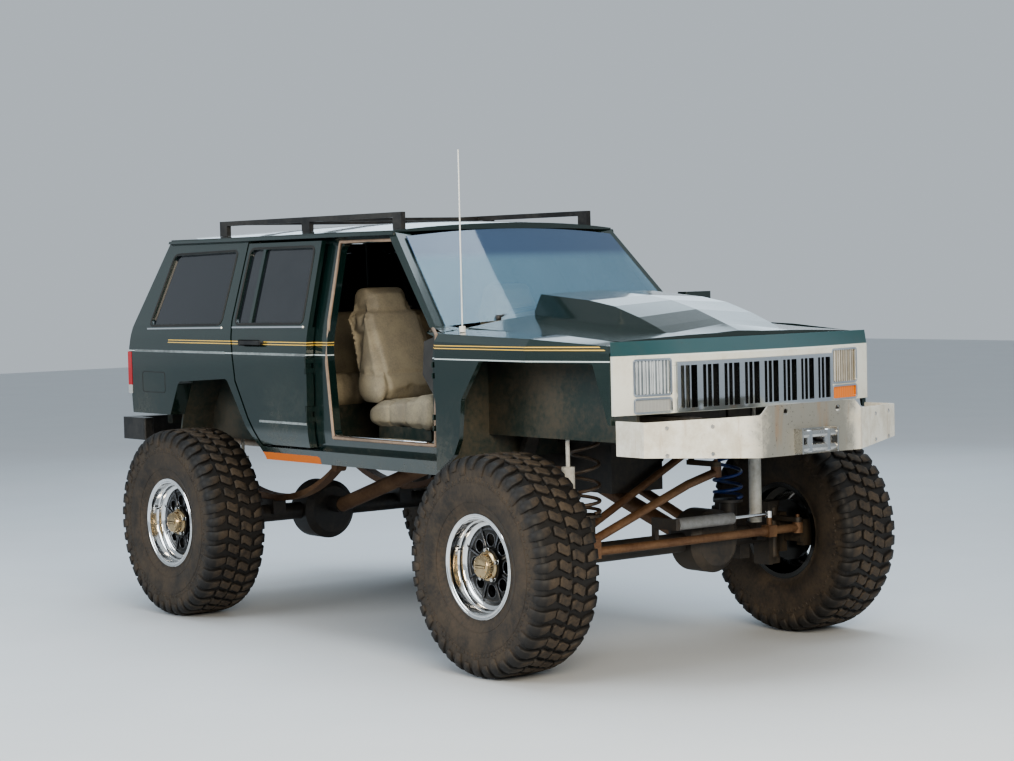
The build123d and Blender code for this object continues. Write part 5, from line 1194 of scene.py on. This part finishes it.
wiper = {
    "arm": ((700, -420, 1497), (640, -250, 1513), (600, -90, 1528)),
    "blade": ((655, -330, 1519), (598, -80, 1540), (585, 40, 1547)),
    "pivot": ((700, -420, 1480), (700, -420, 1504)),
}


def makeWiper(w):
    # lies just ahead of the windscreen's foot
    shape = Shape()
    shape.tube(smoothPath([at(*p) for p in w["arm"]], 0.03), 0.006, 8)
    shape.tube(smoothPath([at(*p) for p in w["blade"]], 0.03), 0.005, 8)
    shape.rod(*(at(*p) for p in w["pivot"]), 0.014, 16, 0.002)
    shape.make("wiper", "root", ["blackPaint"], soft=True)
    print("wiper")


lamp = {
    "inner": 468,
    "outer": 646,
    "heights": ((1183, 1329), (1112, 1170)),
    "corner": 12,
    "ribs": [486 + k * 35 for k in range(5)],
    "ribHeights": (1190, 1322),
}
noseArc = {"front": 1940, "radius": 3444}


def noseX(y):
    # the nose's curve in plan, from the middle of the wheelbase
    return noseArc["front"] - noseArc["radius"] + math.sqrt(noseArc["radius"] ** 2 - y ** 2)


def makeLamps(m):
    # bezels round the lamps and flutes on the clear lenses
    bezels, ribs = Shape(), Shape()
    for sign in (-1, 1):
        for low, high in m["heights"]:
            corners = [(m["inner"], low), (m["outer"], low), (m["outer"], high), (m["inner"], high)]
            path = [at(noseX(y) + 2, sign * y, z) for y, z in roundCorners(corners, m["corner"])]
            bezels.strip(path, sections["bezel"], Vector((1, 0, 0)), closed=True)
        for y in m["ribs"]:
            low, high = m["ribHeights"]
            ribs.box(at(noseX(y) - 1, sign * y - 1.2, low), at(noseX(y) + 3, sign * y + 1.2, high), 0.0008)
    bezels.make("lamp_bezels", "root", ["chromeTrim"], sharp=35)
    ribs.make("lamp_ribs", "root", ["lampGlass"])
    print("lamps")


front = {
    "rollerSpots": (-52, 52),
    "rollerX": 2278,
    "rollerHeights": (936, 1026),
    "rollerRadius": 0.017,
    "boltSpots": (-640, -470, 470, 640),
    "boltHeights": (950, 1060),
    "bolt": ((0, 0.009), (0.004, 0.009), (0.006, 0.007)),
    # the bumper's wing in plan runs back from its middle plate to its end
    "wing": ((2250, 285), (2030, 727)),
}


def makeFront(f):
    shape = Shape()
    for y in f["rollerSpots"]:
        low, high = (at(f["rollerX"], y, z) for z in f["rollerHeights"])
        shape.rod(low, high, f["rollerRadius"], 24, 0.003)
    shape.make("fairlead_rollers", "root", ["chromeRod"])
    (innerX, innerY), (outerX, outerY) = f["wing"]
    slope = (innerX - outerX) / (outerY - innerY)
    bolts = Shape()
    for y in f["boltSpots"]:
        x = innerX - (abs(y) - innerY) * slope
        for z in f["boltHeights"]:
            bolts.turned(f["bolt"], at(x - 2, y, z), Vector((1, math.copysign(slope, y), 0)), 6)
    bolts.make("bumper_bolts", "root", ["boltBright"])
    print("front")


makeTyres()
makeWheels(wheel)
makeCoils(coils)
makeSeats(seat)
makeMouldings(mouldingPlace)
makeWindowTrim(windowTrim)
makeDoorway(doorway)
makeFittings(handle, flap)
makeWiper(wiper)
makeLamps(lamp)
makeFront(front)


# Floor

def makeFloor():
    f = Finish("studioFloor")
    grain = f.noise(1.2, 4)
    f.feed("Base Color", f.blend(grain, (0.60, 0.62, 0.64), (0.66, 0.68, 0.70)))
    f.feed("Roughness", 0.72 + grain * 0.1)
    data = bpy.data.meshes.new("floor")
    size = 30
    data.from_pydata([(-size, -size, 0), (size, -size, 0), (size, size, 0), (-size, size, 0)], [], [(0, 1, 2, 3)])
    floor = bpy.data.objects.new("floor", data)
    floor.data.materials.append(f.material)
    scene.collection.objects.link(floor)


makeFloor()
print("floor")
